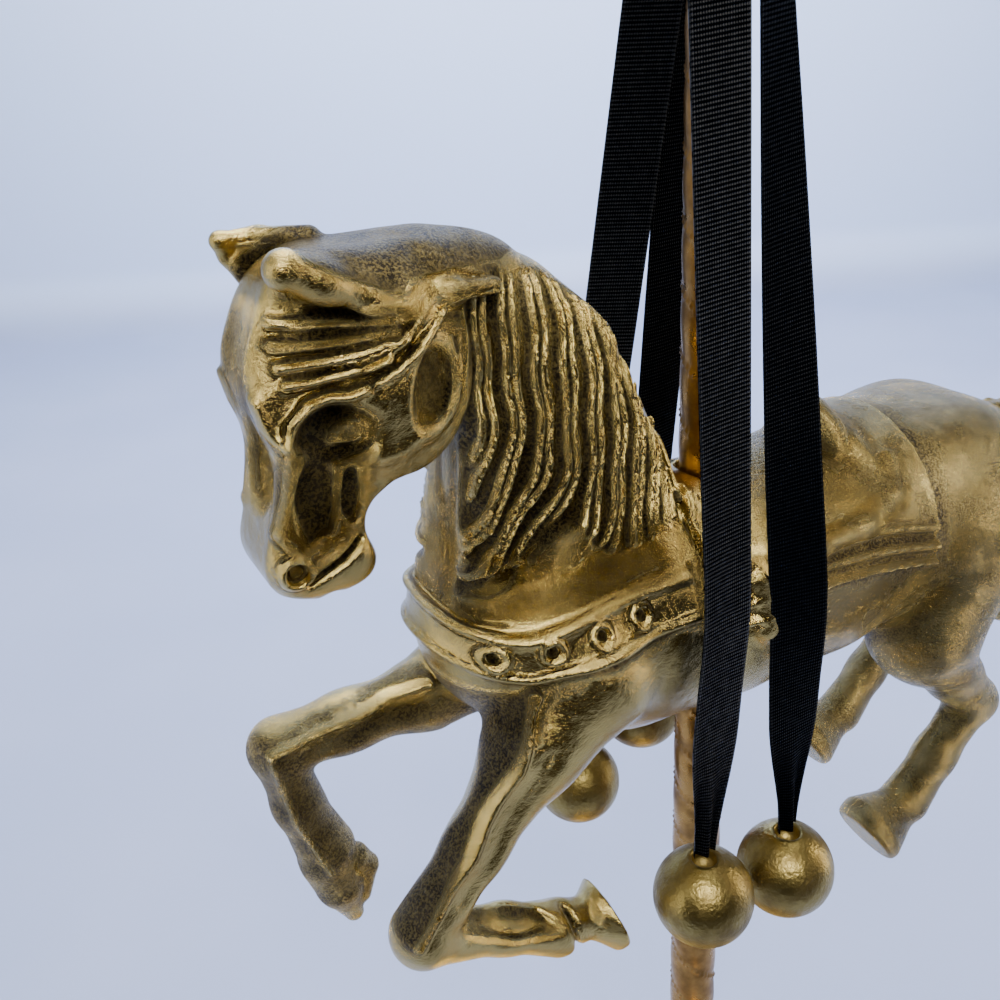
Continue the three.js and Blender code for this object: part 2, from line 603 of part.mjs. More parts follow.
function thinOut({ positions, faces }, target) {
  const points = [];
  for (let i = 0; i < positions.length; i += 3) points.push([...positions.subarray(i, i + 3)]);
  const quadrics = points.map(() => new Float64Array(10));
  const around = points.map(() => new Set());
  const version = new Int32Array(points.length);
  faces.forEach((face, f) => {
    const q = planeQuadric(...face.map((v) => points[v]));
    for (const v of face) {
      around[v].add(f);
      for (let i = 0; i < 10; i++) quadrics[v][i] += q[i];
    }
  });
  const heap = new Heap();
  const offer = (a, b) => {
    const q = quadrics[a].map((v, i) => v + quadrics[b][i]);
    const place = bestPlace(q, points[a], points[b]);
    const stamp = version[a] + version[b];
    heap.push({ cost: Math.max(quadricError(q, place), 0), a, b, place, stamp });
  };
  const neighbours = (v) => {
    const found = new Set();
    for (const f of around[v]) for (const w of faces[f]) if (w !== v) found.add(w);
    return found;
  };
  points.forEach((_, v) => {
    for (const w of neighbours(v)) if (v < w) offer(v, w);
  });
  const flips = (v, other, place) => {
    for (const f of around[v]) {
      if (faces[f].includes(other)) continue;
      const before = faces[f].map((w) => points[w]);
      const after = faces[f].map((w) => (w === v ? place : points[w]));
      const n0 = triangleNormal(...before);
      const n1 = triangleNormal(...after);
      const dot = n0[0] * n1[0] + n0[1] * n1[1] + n0[2] * n1[2];
      if (dot < 0.5 * Math.hypot(...n0) * Math.hypot(...n1) || Math.hypot(...n1) < 0.02) return true;
    }
    return false;
  };
  let remaining = faces.length;
  while (remaining > target && heap.items.length) {
    const { a, b, place, stamp } = heap.pop();
    if (!around[a] || !around[b] || stamp !== version[a] + version[b]) continue;
    const nearA = neighbours(a);
    const nearB = neighbours(b);
    if (!nearA.has(b)) continue;
    let shared = 0;
    for (const v of nearA) if (nearB.has(v)) shared++;
    if (shared !== 2 || flips(a, b, place) || flips(b, a, place)) continue;
    for (const f of [...around[b]]) {
      if (faces[f].includes(a)) {
        for (const v of faces[f]) around[v].delete(f);
        faces[f] = null;
        remaining--;
      } else {
        faces[f] = faces[f].map((v) => (v === b ? a : v));
        around[a].add(f);
      }
    }
    around[b] = null;
    points[a] = place;
    for (let i = 0; i < 10; i++) quadrics[a][i] += quadrics[b][i];
    version[a] += version[b] + 1;
    for (const v of neighbours(a)) {
      version[v]++;
    }
    for (const v of neighbours(a)) {
      for (const w of neighbours(v)) if (w === a || v < w || !neighbours(a).has(w)) offer(v, w);
    }
  }
  return { points, faces: faces.filter(Boolean) };
}

function geometryFrom(vertices, indices) {
  const geometry = new THREE.BufferGeometry();
  geometry.setAttribute('position', new THREE.Float32BufferAttribute(vertices, 3));
  geometry.setIndex(Array.from(indices));
  return geometry;
}

// ---- Solids that are cut or joined ----

const wasm = await Module();
wasm.setup();

function toSolid(source) {
  const plain = source.clone();
  plain.deleteAttribute('normal');
  plain.deleteAttribute('uv');
  const geometry = mergeVertices(plain, 1e-4);
  const vertProperties = Float32Array.from(geometry.attributes.position.array);
  const triVerts = Uint32Array.from(geometry.index.array);
  return new wasm.Manifold(new wasm.Mesh({ numProp: 3, vertProperties, triVerts }));
}

// Cut first and thinned out last, so that the thinning also clears the slivers along the cut.
function horseGeometry() {
  const field = horseField();
  const net = surfaceNet(partSheets(sampleField(field, HORSE_LOW, HORSE_HIGH, GRID_STEP)));
  const rough = thinOut(settleOnField(net, field), HORSE_TRIANGLES * 1.3);
  const cast = toSolid(geometryFrom(rough.points.flat(), rough.faces.flat()));
  const bore = new THREE.CylinderGeometry(POLE_RADIUS + 2 * FIT_GAP, POLE_RADIUS + 2 * FIT_GAP, 200, 24);
  bore.rotateX(Math.PI / 2);
  const { vertProperties, triVerts } = cast.subtract(toSolid(bore)).getMesh();
  const count = triVerts.length / 3;
  const faces = Array.from({ length: count }, (_, i) => [...triVerts.subarray(3 * i, 3 * i + 3)]);
  const positions = Float64Array.from(vertProperties);
  const { points, faces: kept } = thinOut({ positions, faces }, HORSE_TRIANGLES);
  return geometryFrom(points.flat(), kept.flat());
}

// ---- Turned pieces: the outline is a list of [radius, height] from the axis and back to it ----

function turned(outline, sides) {
  const points = outline.map(([radius, height]) => new THREE.Vector2(radius, height));
  const geometry = new THREE.LatheGeometry(points, sides);
  geometry.rotateX(Math.PI / 2);
  return geometry;
}

function arc(cx, cy, radius, from, to, steps) {
  return Array.from({ length: steps + 1 }, (_, i) => {
    const angle = THREE.MathUtils.degToRad(from + (to - from) * i / steps);
    return [cx + radius * Math.cos(angle), cy + radius * Math.sin(angle)];
  });
}

function footGeometry() {
  const socket = POLE_RADIUS + FIT_GAP;
  const floor = FOOT_HEIGHT + 8 - SOCKET_DEPTH;
  return turned([
    [0, 0], [FOOT_RADIUS, 0], [FOOT_RADIUS, 4], ...arc(FOOT_RADIUS - 6, 4, 6, 20, 90, 3),
    [FOOT_RADIUS - 9, 9], [FOOT_RADIUS - 12, 9.5], [24, FOOT_HEIGHT], [12, FOOT_HEIGHT + 3],
    [10, FOOT_HEIGHT + 8], [socket, FOOT_HEIGHT + 8], [socket, floor], [0, floor],
  ], 32);
}

function poleGeometry() {
  const bottom = FOOT_HEIGHT + 8 - SOCKET_DEPTH + FIT_GAP;
  const top = SADDLE_HEIGHT + CAP_UNDERSIDE + 8;
  return turned([[0, bottom], [POLE_RADIUS, bottom], [POLE_RADIUS, top], [0, top]], 24);
}

function capGeometry() {
  const bore = POLE_RADIUS + FIT_GAP;
  return turned([
    [bore, 0], [16.6, 0], [17, 1], [16, 2.2], [8, 3.8], [6.8, 6], ...arc(0, 14, 9, -48, 90, 6).slice(0, -1),
    [0, 23], [0, 8.5], [bore, 8.5], [bore, 0],
  ], 18);
}

function ballGeometry() {
  const edge = THREE.MathUtils.radToDeg(Math.acos(BALL_HOLE_RADIUS / BALL_RADIUS));
  const rim = BALL_RADIUS * Math.sin(THREE.MathUtils.degToRad(edge));
  return turned([
    [0, -BALL_RADIUS], ...arc(0, 0, BALL_RADIUS, -90, edge, 8).slice(1),
    [BALL_HOLE_RADIUS, rim - BALL_HOLE_DEPTH], [0, rim - BALL_HOLE_DEPTH],
  ], 12);
}

// ---- Ribbons: where each leaves the cap, where it bears on the horse, and its ball ----

// Two on each side of the pole, each with its face to that side
const RIBBONS = [
  { cap: [-11, -9], bears: [-13.5, -23, -10], ball: [-16.3, -22.6, -67.6] },
  { cap: [-3, -6.9], bears: [0.5, -24, -13], ball: [3.2, -22.4, -71] },
  { cap: [5.5, 6.9], bears: [-11.6, 22, -10], ball: [-15, 22, -73] },
  { cap: [9.4, 9], bears: [4.3, 22.6, -10], ball: [2.1, 23, -61] },
];

// Points from the cap down to the ball, in the part's own frame.
function ribbonRoute({ cap, bears, ball }) {
  const start = new THREE.Vector3(cap[0], cap[1], SADDLE_HEIGHT + CAP_UNDERSIDE - RIBBON_DROP);
  const shoulder = new THREE.Vector3(bears[0], bears[1], bears[2] + SADDLE_HEIGHT);
  const end = new THREE.Vector3(ball[0], ball[1], ball[2] + SADDLE_HEIGHT + BALL_RADIUS + FIT_GAP);
  const straight = Array.from({ length: 7 }, (_, i) => start.clone().lerp(shoulder, i / 7));
  const hanging = Array.from({ length: 4 }, (_, i) => shoulder.clone().lerp(end, i / 3));
  return [...straight, ...hanging];
}

// A flat section swept down the route, turned so that its width lies along X.
function ribbonGeometry(ribbon) {
  const path = new THREE.CatmullRomCurve3(ribbonRoute(ribbon));
  const steps = 12;
  const frames = path.computeFrenetFrames(steps, false);
  const across = new THREE.Vector3(1, 0, 0);
  const turn = Math.atan2(across.dot(frames.binormals[0]), across.dot(frames.normals[0]));
  const half = RIBBON_WIDTH / 2;
  const thin = RIBBON_THICKNESS / 2;
  const section = new THREE.Shape([
    [half, 0], [half - thin, thin], [0, thin], [thin - half, thin],
    [-half, 0], [thin - half, -thin], [0, -thin], [half - thin, -thin],
  ].map(([x, y]) => new THREE.Vector2(x, y).rotateAround(new THREE.Vector2(), turn)));
  return new THREE.ExtrudeGeometry(section, { steps, bevelEnabled: false, extrudePath: path });
}

// ---- The whole object ----

const group = new THREE.Group();

function add(name, geometry, material, place = [0, 0, 0]) {
  const mesh = new THREE.Mesh(geometry, material);
  mesh.name = name;
  mesh.position.set(...place);
  group.add(mesh);
  return mesh;
}

add('foot', footGeometry(), brass(0xa88a45, 0.35));
add('pole', poleGeometry(), brass(0xb87a45, 0.3));
add('horse', horseGeometry(), brass(0xb08d3f, 0.3), [0, 0, SADDLE_HEIGHT]);
add('cap', capGeometry(), brass(0xa88a45, 0.35), [0, 0, SADDLE_HEIGHT + CAP_UNDERSIDE]);
RIBBONS.forEach((ribbon, i) => {
  add(`ribbon_${i + 1}`, ribbonGeometry(ribbon), satin);
  const [x, y, z] = ribbon.ball;
  add(`ball_${i + 1}`, ballGeometry(), brass(0xa8924f, 0.45), [x, y, z + SADDLE_HEIGHT]);
});

export default group;
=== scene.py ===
# Brass carousel horse on a twisted pole, with black satin ribbons that end in brass balls.
# Shapes are worked out in millimetres, and turned to metres when their mesh is made.
import math

import bpy
import numpy as np
from mathutils import Matrix, Vector


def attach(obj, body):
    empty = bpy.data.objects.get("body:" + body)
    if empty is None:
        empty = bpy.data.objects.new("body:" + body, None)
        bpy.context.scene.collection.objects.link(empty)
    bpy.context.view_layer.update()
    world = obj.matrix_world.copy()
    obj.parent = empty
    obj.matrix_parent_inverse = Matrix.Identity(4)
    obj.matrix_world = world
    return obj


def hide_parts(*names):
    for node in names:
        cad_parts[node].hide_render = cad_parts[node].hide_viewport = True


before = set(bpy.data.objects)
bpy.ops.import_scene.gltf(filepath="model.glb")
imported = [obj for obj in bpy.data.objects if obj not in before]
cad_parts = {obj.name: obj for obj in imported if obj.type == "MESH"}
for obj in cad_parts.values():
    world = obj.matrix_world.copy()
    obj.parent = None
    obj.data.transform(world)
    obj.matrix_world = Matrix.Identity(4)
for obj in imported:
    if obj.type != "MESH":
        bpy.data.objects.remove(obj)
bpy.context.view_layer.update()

# ---- Driving dimensions, in millimetres ----
METRES = 0.001
SADDLE_HEIGHT = 197.0
POLE_RADIUS = 5.0
FIT_GAP = 0.35
SEAM_PITCH = 22.0
SEAM_HEIGHT = 0.42
SEAM_WIDTH = 0.4
FOOT_RADIUS = 52.0
FOOT_HEIGHT = 12.0
COLLAR_HEIGHT = 8.0
SOCKET_DEPTH = 6.0
CAP_UNDERSIDE = 150.0
CAP_RADIUS = 17.0
CAP_BORE_DEPTH = 8.5
CAP_POLE_DEPTH = 8.0
KNOB_RADIUS = 9.0
KNOB_HEIGHT = 14.0
BALL_RADIUS = 9.0
BALL_HOLE_RADIUS = 2.6
BALL_HOLE_DEPTH = 3.2
RIBBON_WIDTH = 9.5
RIBBON_THICKNESS = 0.3
RIBBON_DROP = 1.0
RIB_PITCH = 0.66
THREAD_PITCH = 0.42
SELVEDGE_START = 0.7
SELVEDGE_FULL = 0.3
LOCK_WIDTH = 4.4

# ---- How finely the meshes are made ----
HORSE_LOW = (-94.0, -28.0, -96.0)
HORSE_HIGH = (94.0, 28.0, 62.0)
FINE_STEP = 0.5
COARSE_FACTOR = 4
BLOCKS_AT_ONCE = 4000
HORSE_TRIANGLES = 190000
POLE_SIDES = 120
POLE_ROWS = 520
FOOT_SIDES = 128
CAP_SIDES = 96
BALL_SIDES = 72
BALL_STEPS = 48
RIBBON_COLUMNS = 24
RIBBON_ROWS = 260

# ---- View: degrees, metres ----
VIEW_AZIMUTH = -27.0
VIEW_PITCH = 24.15
VIEW_ROLL = -3.43
VIEW_FROM = (-0.11038, -0.13624, 0.2739)
LENS_TO_SENSOR = 1.06


# ---- Signed distance fields: functions of arrays x, y, z, negative inside ----

def smooth_min(a, b, k):
    h = np.maximum(k - np.abs(a - b), 0) / k
    return np.minimum(a, b) - h * h * k / 4


def smooth_max(a, b, k):
    return -smooth_min(-a, -b, k)


def blend(k, *fields):
    def field(x, y, z):
        d = fields[0](x, y, z)
        for other in fields[1:]:
            d = smooth_min(d, other(x, y, z), k)
        return d
    return field


def carve(k, body, tool):
    return lambda x, y, z: smooth_max(body(x, y, z), -tool(x, y, z), k)


def trim(k, body, limit):
    return lambda x, y, z: smooth_max(body(x, y, z), limit(x, y, z), k)


def bone(a, b):
    """A tapered rod with round ends, from knot a to knot b, each (x, y, z, radius)."""
    dx, dy, dz, dr = (q - p for p, q in zip(a, b))
    length2 = dx * dx + dy * dy + dz * dz

    def field(x, y, z):
        px, py, pz = x - a[0], y - a[1], z - a[2]
        t = np.clip((px * dx + py * dy + pz * dz) / length2, 0, 1)
        return np.sqrt((px - t * dx) ** 2 + (py - t * dy) ** 2 + (pz - t * dz) ** 2) - a[3] - t * dr
    return field


def limb(k, *knots):
    return blend(k, *(bone(a, b) for a, b in zip(knots, knots[1:])))


def pebble(centre, half, tilt=0.0):
    """An ellipsoid with its half sizes, turned by tilt degrees about Y."""
    c, s = math.cos(math.radians(tilt)), math.sin(math.radians(tilt))
    cx, cy, cz = centre
    a, b, h = half

    def field(x, y, z):
        u = ((x - cx) * c + (z - cz) * s) / a
        v = (y - cy) / b
        w = ((z - cz) * c - (x - cx) * s) / h
        k0 = np.sqrt(u * u + v * v + w * w)
        k1 = np.sqrt((u / a) ** 2 + (v / b) ** 2 + (w / h) ** 2)
        return np.where(k1 < 1e-9, -min(half), k0 * (k0 - 1) / np.maximum(k1, 1e-9))
    return field


def half_space(point, normal):
    size = math.sqrt(sum(v * v for v in normal))
    nx, ny, nz = (v / size for v in normal)
    return lambda x, y, z: (x - point[0]) * nx + (y - point[1]) * ny + (z - point[2]) * nz


def narrow(factor, field):
    return lambda x, y, z: field(x, y / factor, z) * factor


def both_sides(field):
    return lambda x, y, z: field(x, -np.abs(y), z)


def smooth_step(low, high, v):
    t = np.clip((v - low) / (high - low), 0, 1)
    return t * t * (3 - 2 * t)


def profile(*knots):
    """A curve through (height, value) knots, rounded between them."""
    zs = np.array([k[0] for k in knots], float)
    vs = np.array([k[1] for k in knots], float)
    last = len(knots) - 1
    slopes = [(vs[min(i + 1, last)] - vs[max(i - 1, 0)]) / (zs[min(i + 1, last)] - zs[max(i - 1, 0)])
              for i in range(last + 1)]
    slopes = np.array(slopes)

    def value(z):
        z = np.clip(z, zs[0], zs[-1])
        i = np.clip(np.searchsorted(zs, z, side="left"), 1, last)
        span = zs[i] - zs[i - 1]
        t = (z - zs[i - 1]) / span
        m0, m1 = slopes[i - 1] * span, slopes[i] * span
        c = vs[i] - vs[i - 1]
        return vs[i - 1] + t * (m0 + t * (3 * c - 2 * m0 - m1 + t * (m0 + m1 - 2 * c)))
    return value


# ---- The horse, with the saddle level at z = 0 ----

def torso():
    barrel = limb(8, (-36, 0, -14, 17.5), (-20, 0, -18, 19.5), (0, 0, -18.5, 20), (22, 0, -17.5, 20),
                  (40, 0, -13.5, 19.5), (54, 0, -12, 19))
    chest = pebble((-39.5, 0, -11.5), (16.2, 18, 14.5), 18)
    haunches = both_sides(pebble((52, -9, -16), (19, 11.5, 22), -20))
    return blend(6, narrow(0.94, barrel), chest, haunches)


def neck():
    column = limb(5, (-29.6, 0, -3, 21.5), (-32.2, 0, 13, 17.3), (-35.2, 0, 27, 14), (-41, 0, 35.5, 11),
                  (-52, 0, 41, 10.5))
    throat = both_sides(limb(2, (-46, -6, 25, 3), (-47.3, -6.5, 8, 3.6), (-48.5, -7, -3, 4.6)))
    return blend(3, narrow(0.68, column), throat)


FACE_LINE = profile((3.5, -76.5), (6, -79.5), (10, -80.8), (16, -79.4), (24, -77.6), (30, -78.4),
                    (37, -79.4), (43, -78.2), (48, -75.5), (51, -72), (53, -68))
JAW_LINE = profile((3.5, -69), (5, -65.5), (8, -64.5), (13, -65.8), (17, -64.3), (20, -60.3),
                   (23, -56.3), (28, -51.5), (34, -49.3), (43, -48), (50, -48), (53, -50))
HEAD_HALF_WIDTH = profile((3.5, 6.5), (6, 8), (10, 8.8), (16, 8), (22, 8.8), (27, 9.8), (34, 9.8),
                          (42, 9.4), (48, 8.6), (53, 7))
HEAD_CORNER = profile((3.5, 4), (10, 3), (17, 2), (27, 2.2), (36, 3.4), (44, 6), (53, 6))


def skull(x, y, z):
    face, jaw, corner = FACE_LINE(z), JAW_LINE(z), HEAD_CORNER(z)
    u = np.abs(x - (face + jaw) / 2) - (jaw - face) / 2 + corner
    v = np.abs(y) - HEAD_HALF_WIDTH(z) + corner
    outside = np.sqrt(np.maximum(u, 0) ** 2 + np.maximum(v, 0) ** 2)
    level = outside + np.minimum(np.maximum(u, v), 0) - corner
    return smooth_max(level, np.abs(z - 27.4) - 24.6, 3) * 0.85


def path_distance(x, z, knots):
    """Distance in the side view from (x, z) to the line through the knots."""
    best = None
    for (x0, z0), (x1, z1) in zip(knots, knots[1:]):
        dx, dz = x1 - x0, z1 - z0
        t = np.clip(((x - x0) * dx + (z - z0) * dz) / (dx * dx + dz * dz), 0, 1)
        d = np.sqrt((x - x0 - t * dx) ** 2 + (z - z0 - t * dz) ** 2)
        best = d if best is None else np.minimum(best, d)
    return best


def welt(height, width, *knots):
    """Relief along a line in the side view: a ridge, or a groove where height is negative."""
    def relief(x, z):
        d = path_distance(x, z, knots)
        return height * np.exp(-(d / width) ** 2)
    return relief


def dish(height, centre, half, tilt=0.0, edge=0.3):
    """Relief over an oval in the side view: a boss, or a hollow where height is negative."""
    c, s = math.cos(math.radians(tilt)), math.sin(math.radians(tilt))

    def relief(x, z):
        u = ((x - centre[0]) * c + (z - centre[1]) * s) / half[0]
        w = ((z - centre[1]) * c - (x - centre[0]) * s) / half[1]
        return height * (1 - smooth_step(1 - edge, 1 + edge, np.sqrt(u * u + w * w)))
    return relief


def add_up(reliefs, x, z):
    return sum(relief(x, z) for relief in reliefs)


HEAD_RELIEF = [
    # Locks of the forelock, combed back across the temple
    dish(-0.7, (-69, 40), (9.5, 6.5)),
    welt(1.15, 0.75, (-75.8, 44.4), (-69, 43.6), (-61, 43)),
    welt(1.15, 0.75, (-76, 41.6), (-68.4, 41), (-60.5, 41.8)),
    welt(1.15, 0.75, (-75.8, 38.9), (-70, 38.6), (-64.6, 39.2), (-59.5, 40.6)),
    welt(1.1, 0.7, (-75.2, 36.5), (-71.3, 36.3), (-67.2, 36.9), (-62, 38)),
    # The plaited lock that runs from the poll to the eye
    welt(1.0, 0.5, (-54.5, 45), (-57, 42.6), (-59.4, 40.4), (-62, 38.4), (-65, 37.4)),
    welt(1.0, 0.5, (-53, 43), (-55.4, 40.8), (-57.8, 38.6), (-60.4, 36.6), (-63.6, 35.2)),
    # Brow, eye and the hollow around it
    welt(1.2, 0.8, (-76.4, 29), (-75.2, 31.8), (-72.8, 33.5), (-70, 34.1), (-67.5, 33.9), (-65.4, 34.6)),
    dish(-2.4, (-69.4, 28.8), (5.4, 3.7), 8),
    dish(1.7, (-67.9, 28.6), (2.5, 1.9), 8, 0.6),
    # Cheek bone, the hollow side of the nose and its small ridge
    welt(0.9, 0.8, (-79.4, 35), (-78.3, 31), (-76, 27.6), (-76.4, 24.5), (-77.2, 20.7), (-78.4, 16.5)),
    dish(-1.9, (-72.8, 20.2), (2.7, 6.2), -10),
    welt(0.8, 0.6, (-69.8, 24.6), (-69.7, 21), (-70.1, 17.5), (-71.2, 14.8)),
    dish(-1.6, (-67.9, 19.2), (1.5, 3.9), -4),
    # Jaw, with the round plate on it
    welt(0.6, 1.3, (-64.4, 24.4), (-61, 25), (-56.4, 27.4), (-52.6, 31), (-50.4, 36.8), (-49.5, 42.5)),
    dish(0.45, (-56, 33), (4.2, 7.4), -14, 0.15),
    dish(-1.5, (-56, 33), (3, 6), -14, 0.25),
    welt(-0.5, 0.4, (-51.8, 39), (-51.6, 30.6)),
    # Nostril, lips and chin
    dish(1.1, (-77.2, 10), (2.6, 2.6)),
    dish(-1.7, (-77.2, 10), (1.5, 1.5)),
    welt(0.8, 0.7, (-79, 16), (-77.4, 13.6), (-75.8, 12.6), (-74, 13), (-72.4, 14.4)),
    welt(-1.4, 0.6, (-75.4, 7.6), (-72.6, 8.8), (-70.4, 9.9), (-67.4, 12.2)),
    welt(0.6, 0.7, (-74.8, 10.2), (-72.2, 11.2), (-69.6, 12.4)),
]


def face_relief(x, y, z):
    """Relief on both sides of the head, and the sunk panel down its front."""
    side = smooth_step(5.5, 7.5, np.abs(y))
    both = add_up(HEAD_RELIEF, x, z) * side
    front = 1 - smooth_step(1.5, 3.5, x - FACE_LINE(z))
    panel = dish(-1.1, (0, 23.5), (5.2, 6.5), 0, 0.2)(y, z)
    brow = dish(-0.6, (0, 42), (5, 8), 0, 0.3)(y, z)
    return both + front * (1 - side) * (panel + brow)


def head():
    jowl = both_sides(pebble((-59.3, -7.8, 33.5), (11, 4.6, 13.5), -8))
    chin = pebble((-67.9, 0, 8.4), (2.9, 5.5, 2.9))
    poll = pebble((-57, 0, 44.6), (20, 9.2, 7.6), 4)
    lip_notch = bone((-71.6, -12, 2.6, 1.7), (-71.6, 12, 2.6, 1.7))
    shape = carve(1, blend(1.2, skull, jowl, chin, poll), lip_notch)
    return lambda x, y, z: shape(x, y, z) - face_relief(x, y, z)


def near_ear():
    """Laid back, so that its smooth outer side and its rolled edge show."""
    shell = limb(3, (-70.5, -7.6, 50.2, 2.8), (-58, -6.4, 46.6, 4.4))
    edge = limb(2.5, (-73.8, -10.8, 51.3, 2.7), (-69, -11, 49, 2.2), (-62.5, -10.8, 45.8, 1.7),
                (-55.5, -10.4, 42.2, 1.1))
    plate = limb(2, (-58, -9.4, 45.4, 1.6), (-51, -9.4, 45.2, 1.6), (-44.5, -8.6, 44.6, 1.3))
    return blend(2, shell, edge, plate)


def far_ear():
    """Turned to show its hollow inside, within a rolled edge."""
    rim = limb(1, (-64.6, 6.5, 51.8, 1.6), (-71, 8.2, 52.6, 1.2), (-76.2, 9.2, 52.4, 1.2),
               (-75.4, 9.6, 50.2, 1.1), (-73.4, 9.2, 47.2, 1.4))
    back = pebble((-71, 9.6, 50.2), (5, 1.6, 3.4), -8)
    root = bone((-66, 7.4, 48.5, 3.4), (-60, 7, 46.5, 4.4))
    plate = limb(1, (-62, 10, 46, 1.5), (-55, 9.8, 45.7, 1.6), (-47.4, 9, 44.9, 1.3))
    return blend(1, rim, back, root, plate)


def ears():
    return blend(0.6, near_ear(), far_ear())


def lock_paths(x, z):
    """A number that is constant along each lock and grows by one lock's width from lock to lock."""
    swing = 0.02 - 0.015 * smooth_step(-48, -24, x)
    sweep = x + swing * np.maximum(26 - z, 0) ** 2 - 0.05 * z
    return sweep + 0.35 * np.sin(0.23 * z + 0.31 * x) + 0.2 * np.sin(0.61 * z - 0.2 * x)


def mane_strands(x, y, z):
    """Locks that fall from the crest and swing forward, each with a thin ridge along both its edges."""
    top = 1 - smooth_step(43, 47, z)
    front = smooth_step(-50, -47, x + 0.02 * np.maximum(26 - z, 0) ** 2) * smooth_step(-53, -49, x)
    hem = smooth_step(0, 3, z - 8 * np.exp(-((x + 38) / 5.5) ** 2))
    low = 1 - smooth_step(20, 34, z)
    off_crest = smooth_step(0, 1, (np.abs(y) - 3 - 3 * low) / (4.5 - 2 * low))
    place = (lock_paths(x, z) / LOCK_WIDTH) % 1.0
    away = np.minimum(place, 1 - place) * LOCK_WIDTH
    ridges = 1.7 * np.exp(-((away - 0.8) / 0.5) ** 2) + 0.35 * np.exp(-(away / 0.9) ** 4)
    return top * front * hem * off_crest * (ridges - 0.55)


# The bump and the hollow at the neck's foot, and the dark hollow behind the jaw
THROAT_RELIEF = [
    dish(2.3, (-37.5, 4.2), (5.8, 3), 28, 0.7),
    dish(-1.0, (-48.6, 0.4), (4.4, 2), 12, 0.3),
    welt(-1.1, 1.2, (-50, 22), (-50.6, 13), (-49.6, 5)),
    welt(0.8, 0.7, (-44, 3.4), (-48.6, 3.6), (-52, 1.4)),
]


def maned_neck():
    plain = neck()

    def field(x, y, z):
        throat = add_up(THROAT_RELIEF, x, z) * smooth_step(5, 7.5, np.abs(y))
        return plain(x, y, z) - mane_strands(x, y, z) - throat
    return field


def collar_height(x):
    """Height of the breast strap's middle: it dips at the side and rises round the chest."""
    front = -10.3 + 2.2 * ((x + 46) / 10) ** 2
    side = -10.3 + 2.8 * (1 - np.exp(-np.maximum(x + 46, 0) / 12))
    return np.where(x < -46, front, side)


def collar(surface, x, z):
    """The breast strap: a band laid on the surface, with a rolled edge above and below."""
    v = z - collar_height(x)
    rolls = 0.8 * np.exp(-(((np.abs(v) - 3) / 0.8) ** 2))
    return np.maximum(np.maximum(surface - 1.2 - rolls, np.abs(v) - 3.8), x + 16.5)


STUDS = ((-51.1, -9.8), (-43.3, -9), (-35.3, -8.4), (-27.4, -7.9))


def stud_relief(x, y, z):
    """A raised ring around each stud of the breast strap."""
    height = 0
    for cx, cz in STUDS:
        d = np.sqrt((x - cx) ** 2 + (z - cz) ** 2)
        height = height + 0.9 * np.exp(-((d - 1.6) / 0.5) ** 2) - 0.7 * np.exp(-(d / 0.8) ** 4)
    return height * smooth_step(7, 10, np.abs(y))


def saddle():
    """A low seat around the pole, and a high rounded cantle in front of a broader pad."""
    seat = limb(5, (-6, 0, -10.5, 12), (8, 0, -11.5, 12), (20, 0, -9, 12.5))
    cantle = pebble((24.5, 0, 0), (5.6, 10.5, 14.5), 16)
    pad = pebble((28.5, 0, -4), (6.5, 15, 13.5), 14)
    roll = both_sides(limb(2, (31, -12, 2, 2), (28.5, -16, -3, 2.2), (20, -18, -6, 2.2), (8, -18.8, -7, 2),
                           (-7, -17.6, -5.5, 2)))
    return blend(0.8, narrow(1.25, seat), cantle, pad, roll)


def blanket(surface, x, z):
    """A cloth laid on the surface under the saddle, with rolled rows along its hem."""
    above = z + 13.5 + 0.005 * (x - 12) ** 2
    rows = 0.6 * np.cos(2 * np.pi * above / 3.6) * (1 - smooth_step(6, 9, above))
    return np.maximum(np.maximum(surface - 1.2 - rows, -above), np.maximum(-12 - x, x - 36))


def stirrup():
    """The strap that hangs from the saddle on each side."""
    return both_sides(limb(1.5, (-4.5, -19.4, -8, 2.2), (-3, -20, -17, 2.6), (-1, -19.2, -23, 1.6)))


def near_foreleg():
    flesh = limb(4, (-34, -11, -20, 12.5), (-43.5, -12.5, -29, 8), (-56, -13.5, -44, 4.6),
                 (-67, -14, -56.5, 5.4))
    cannon = limb(3, (-66.5, -14, -58, 4.8), (-52, -13.4, -64.5, 3.9), (-41.5, -13, -70.4, 5))
    pastern = bone((-41, -13, -70, 3.8), (-33.5, -13, -71.5, 3.2))
    hoof = trim(0.8, limb(1, (-36, -13, -71.2, 3.4), (-31.2, -13, -71.5, 7.4)),
                half_space((-30.6, -13, -72), (1, 0, 0.32)))
    return blend(2, flesh, cannon, pastern, hoof)


def far_foreleg():
    flesh = limb(4, (-38, 10, -24, 12), (-52, 11, -30, 6), (-67, 12, -31, 4.7), (-79, 12, -31.5, 5.2))
    cannon = limb(3, (-79.3, 12, -32, 4.8), (-77.6, 12, -44, 4), (-74, 12, -55.5, 5.3))
    hoof = limb(0.6, (-74.2, 12, -59, 4.6), (-72.4, 12, -65, 4.4), (-70.6, 12, -72.4, 1.9))
    heel = limb(0.6, (-69, 12, -60.6, 3), (-67, 12, -63, 2.2), (-68.6, 12, -69, 1.8))
    return blend(2, flesh, cannon, blend(1, hoof, heel))


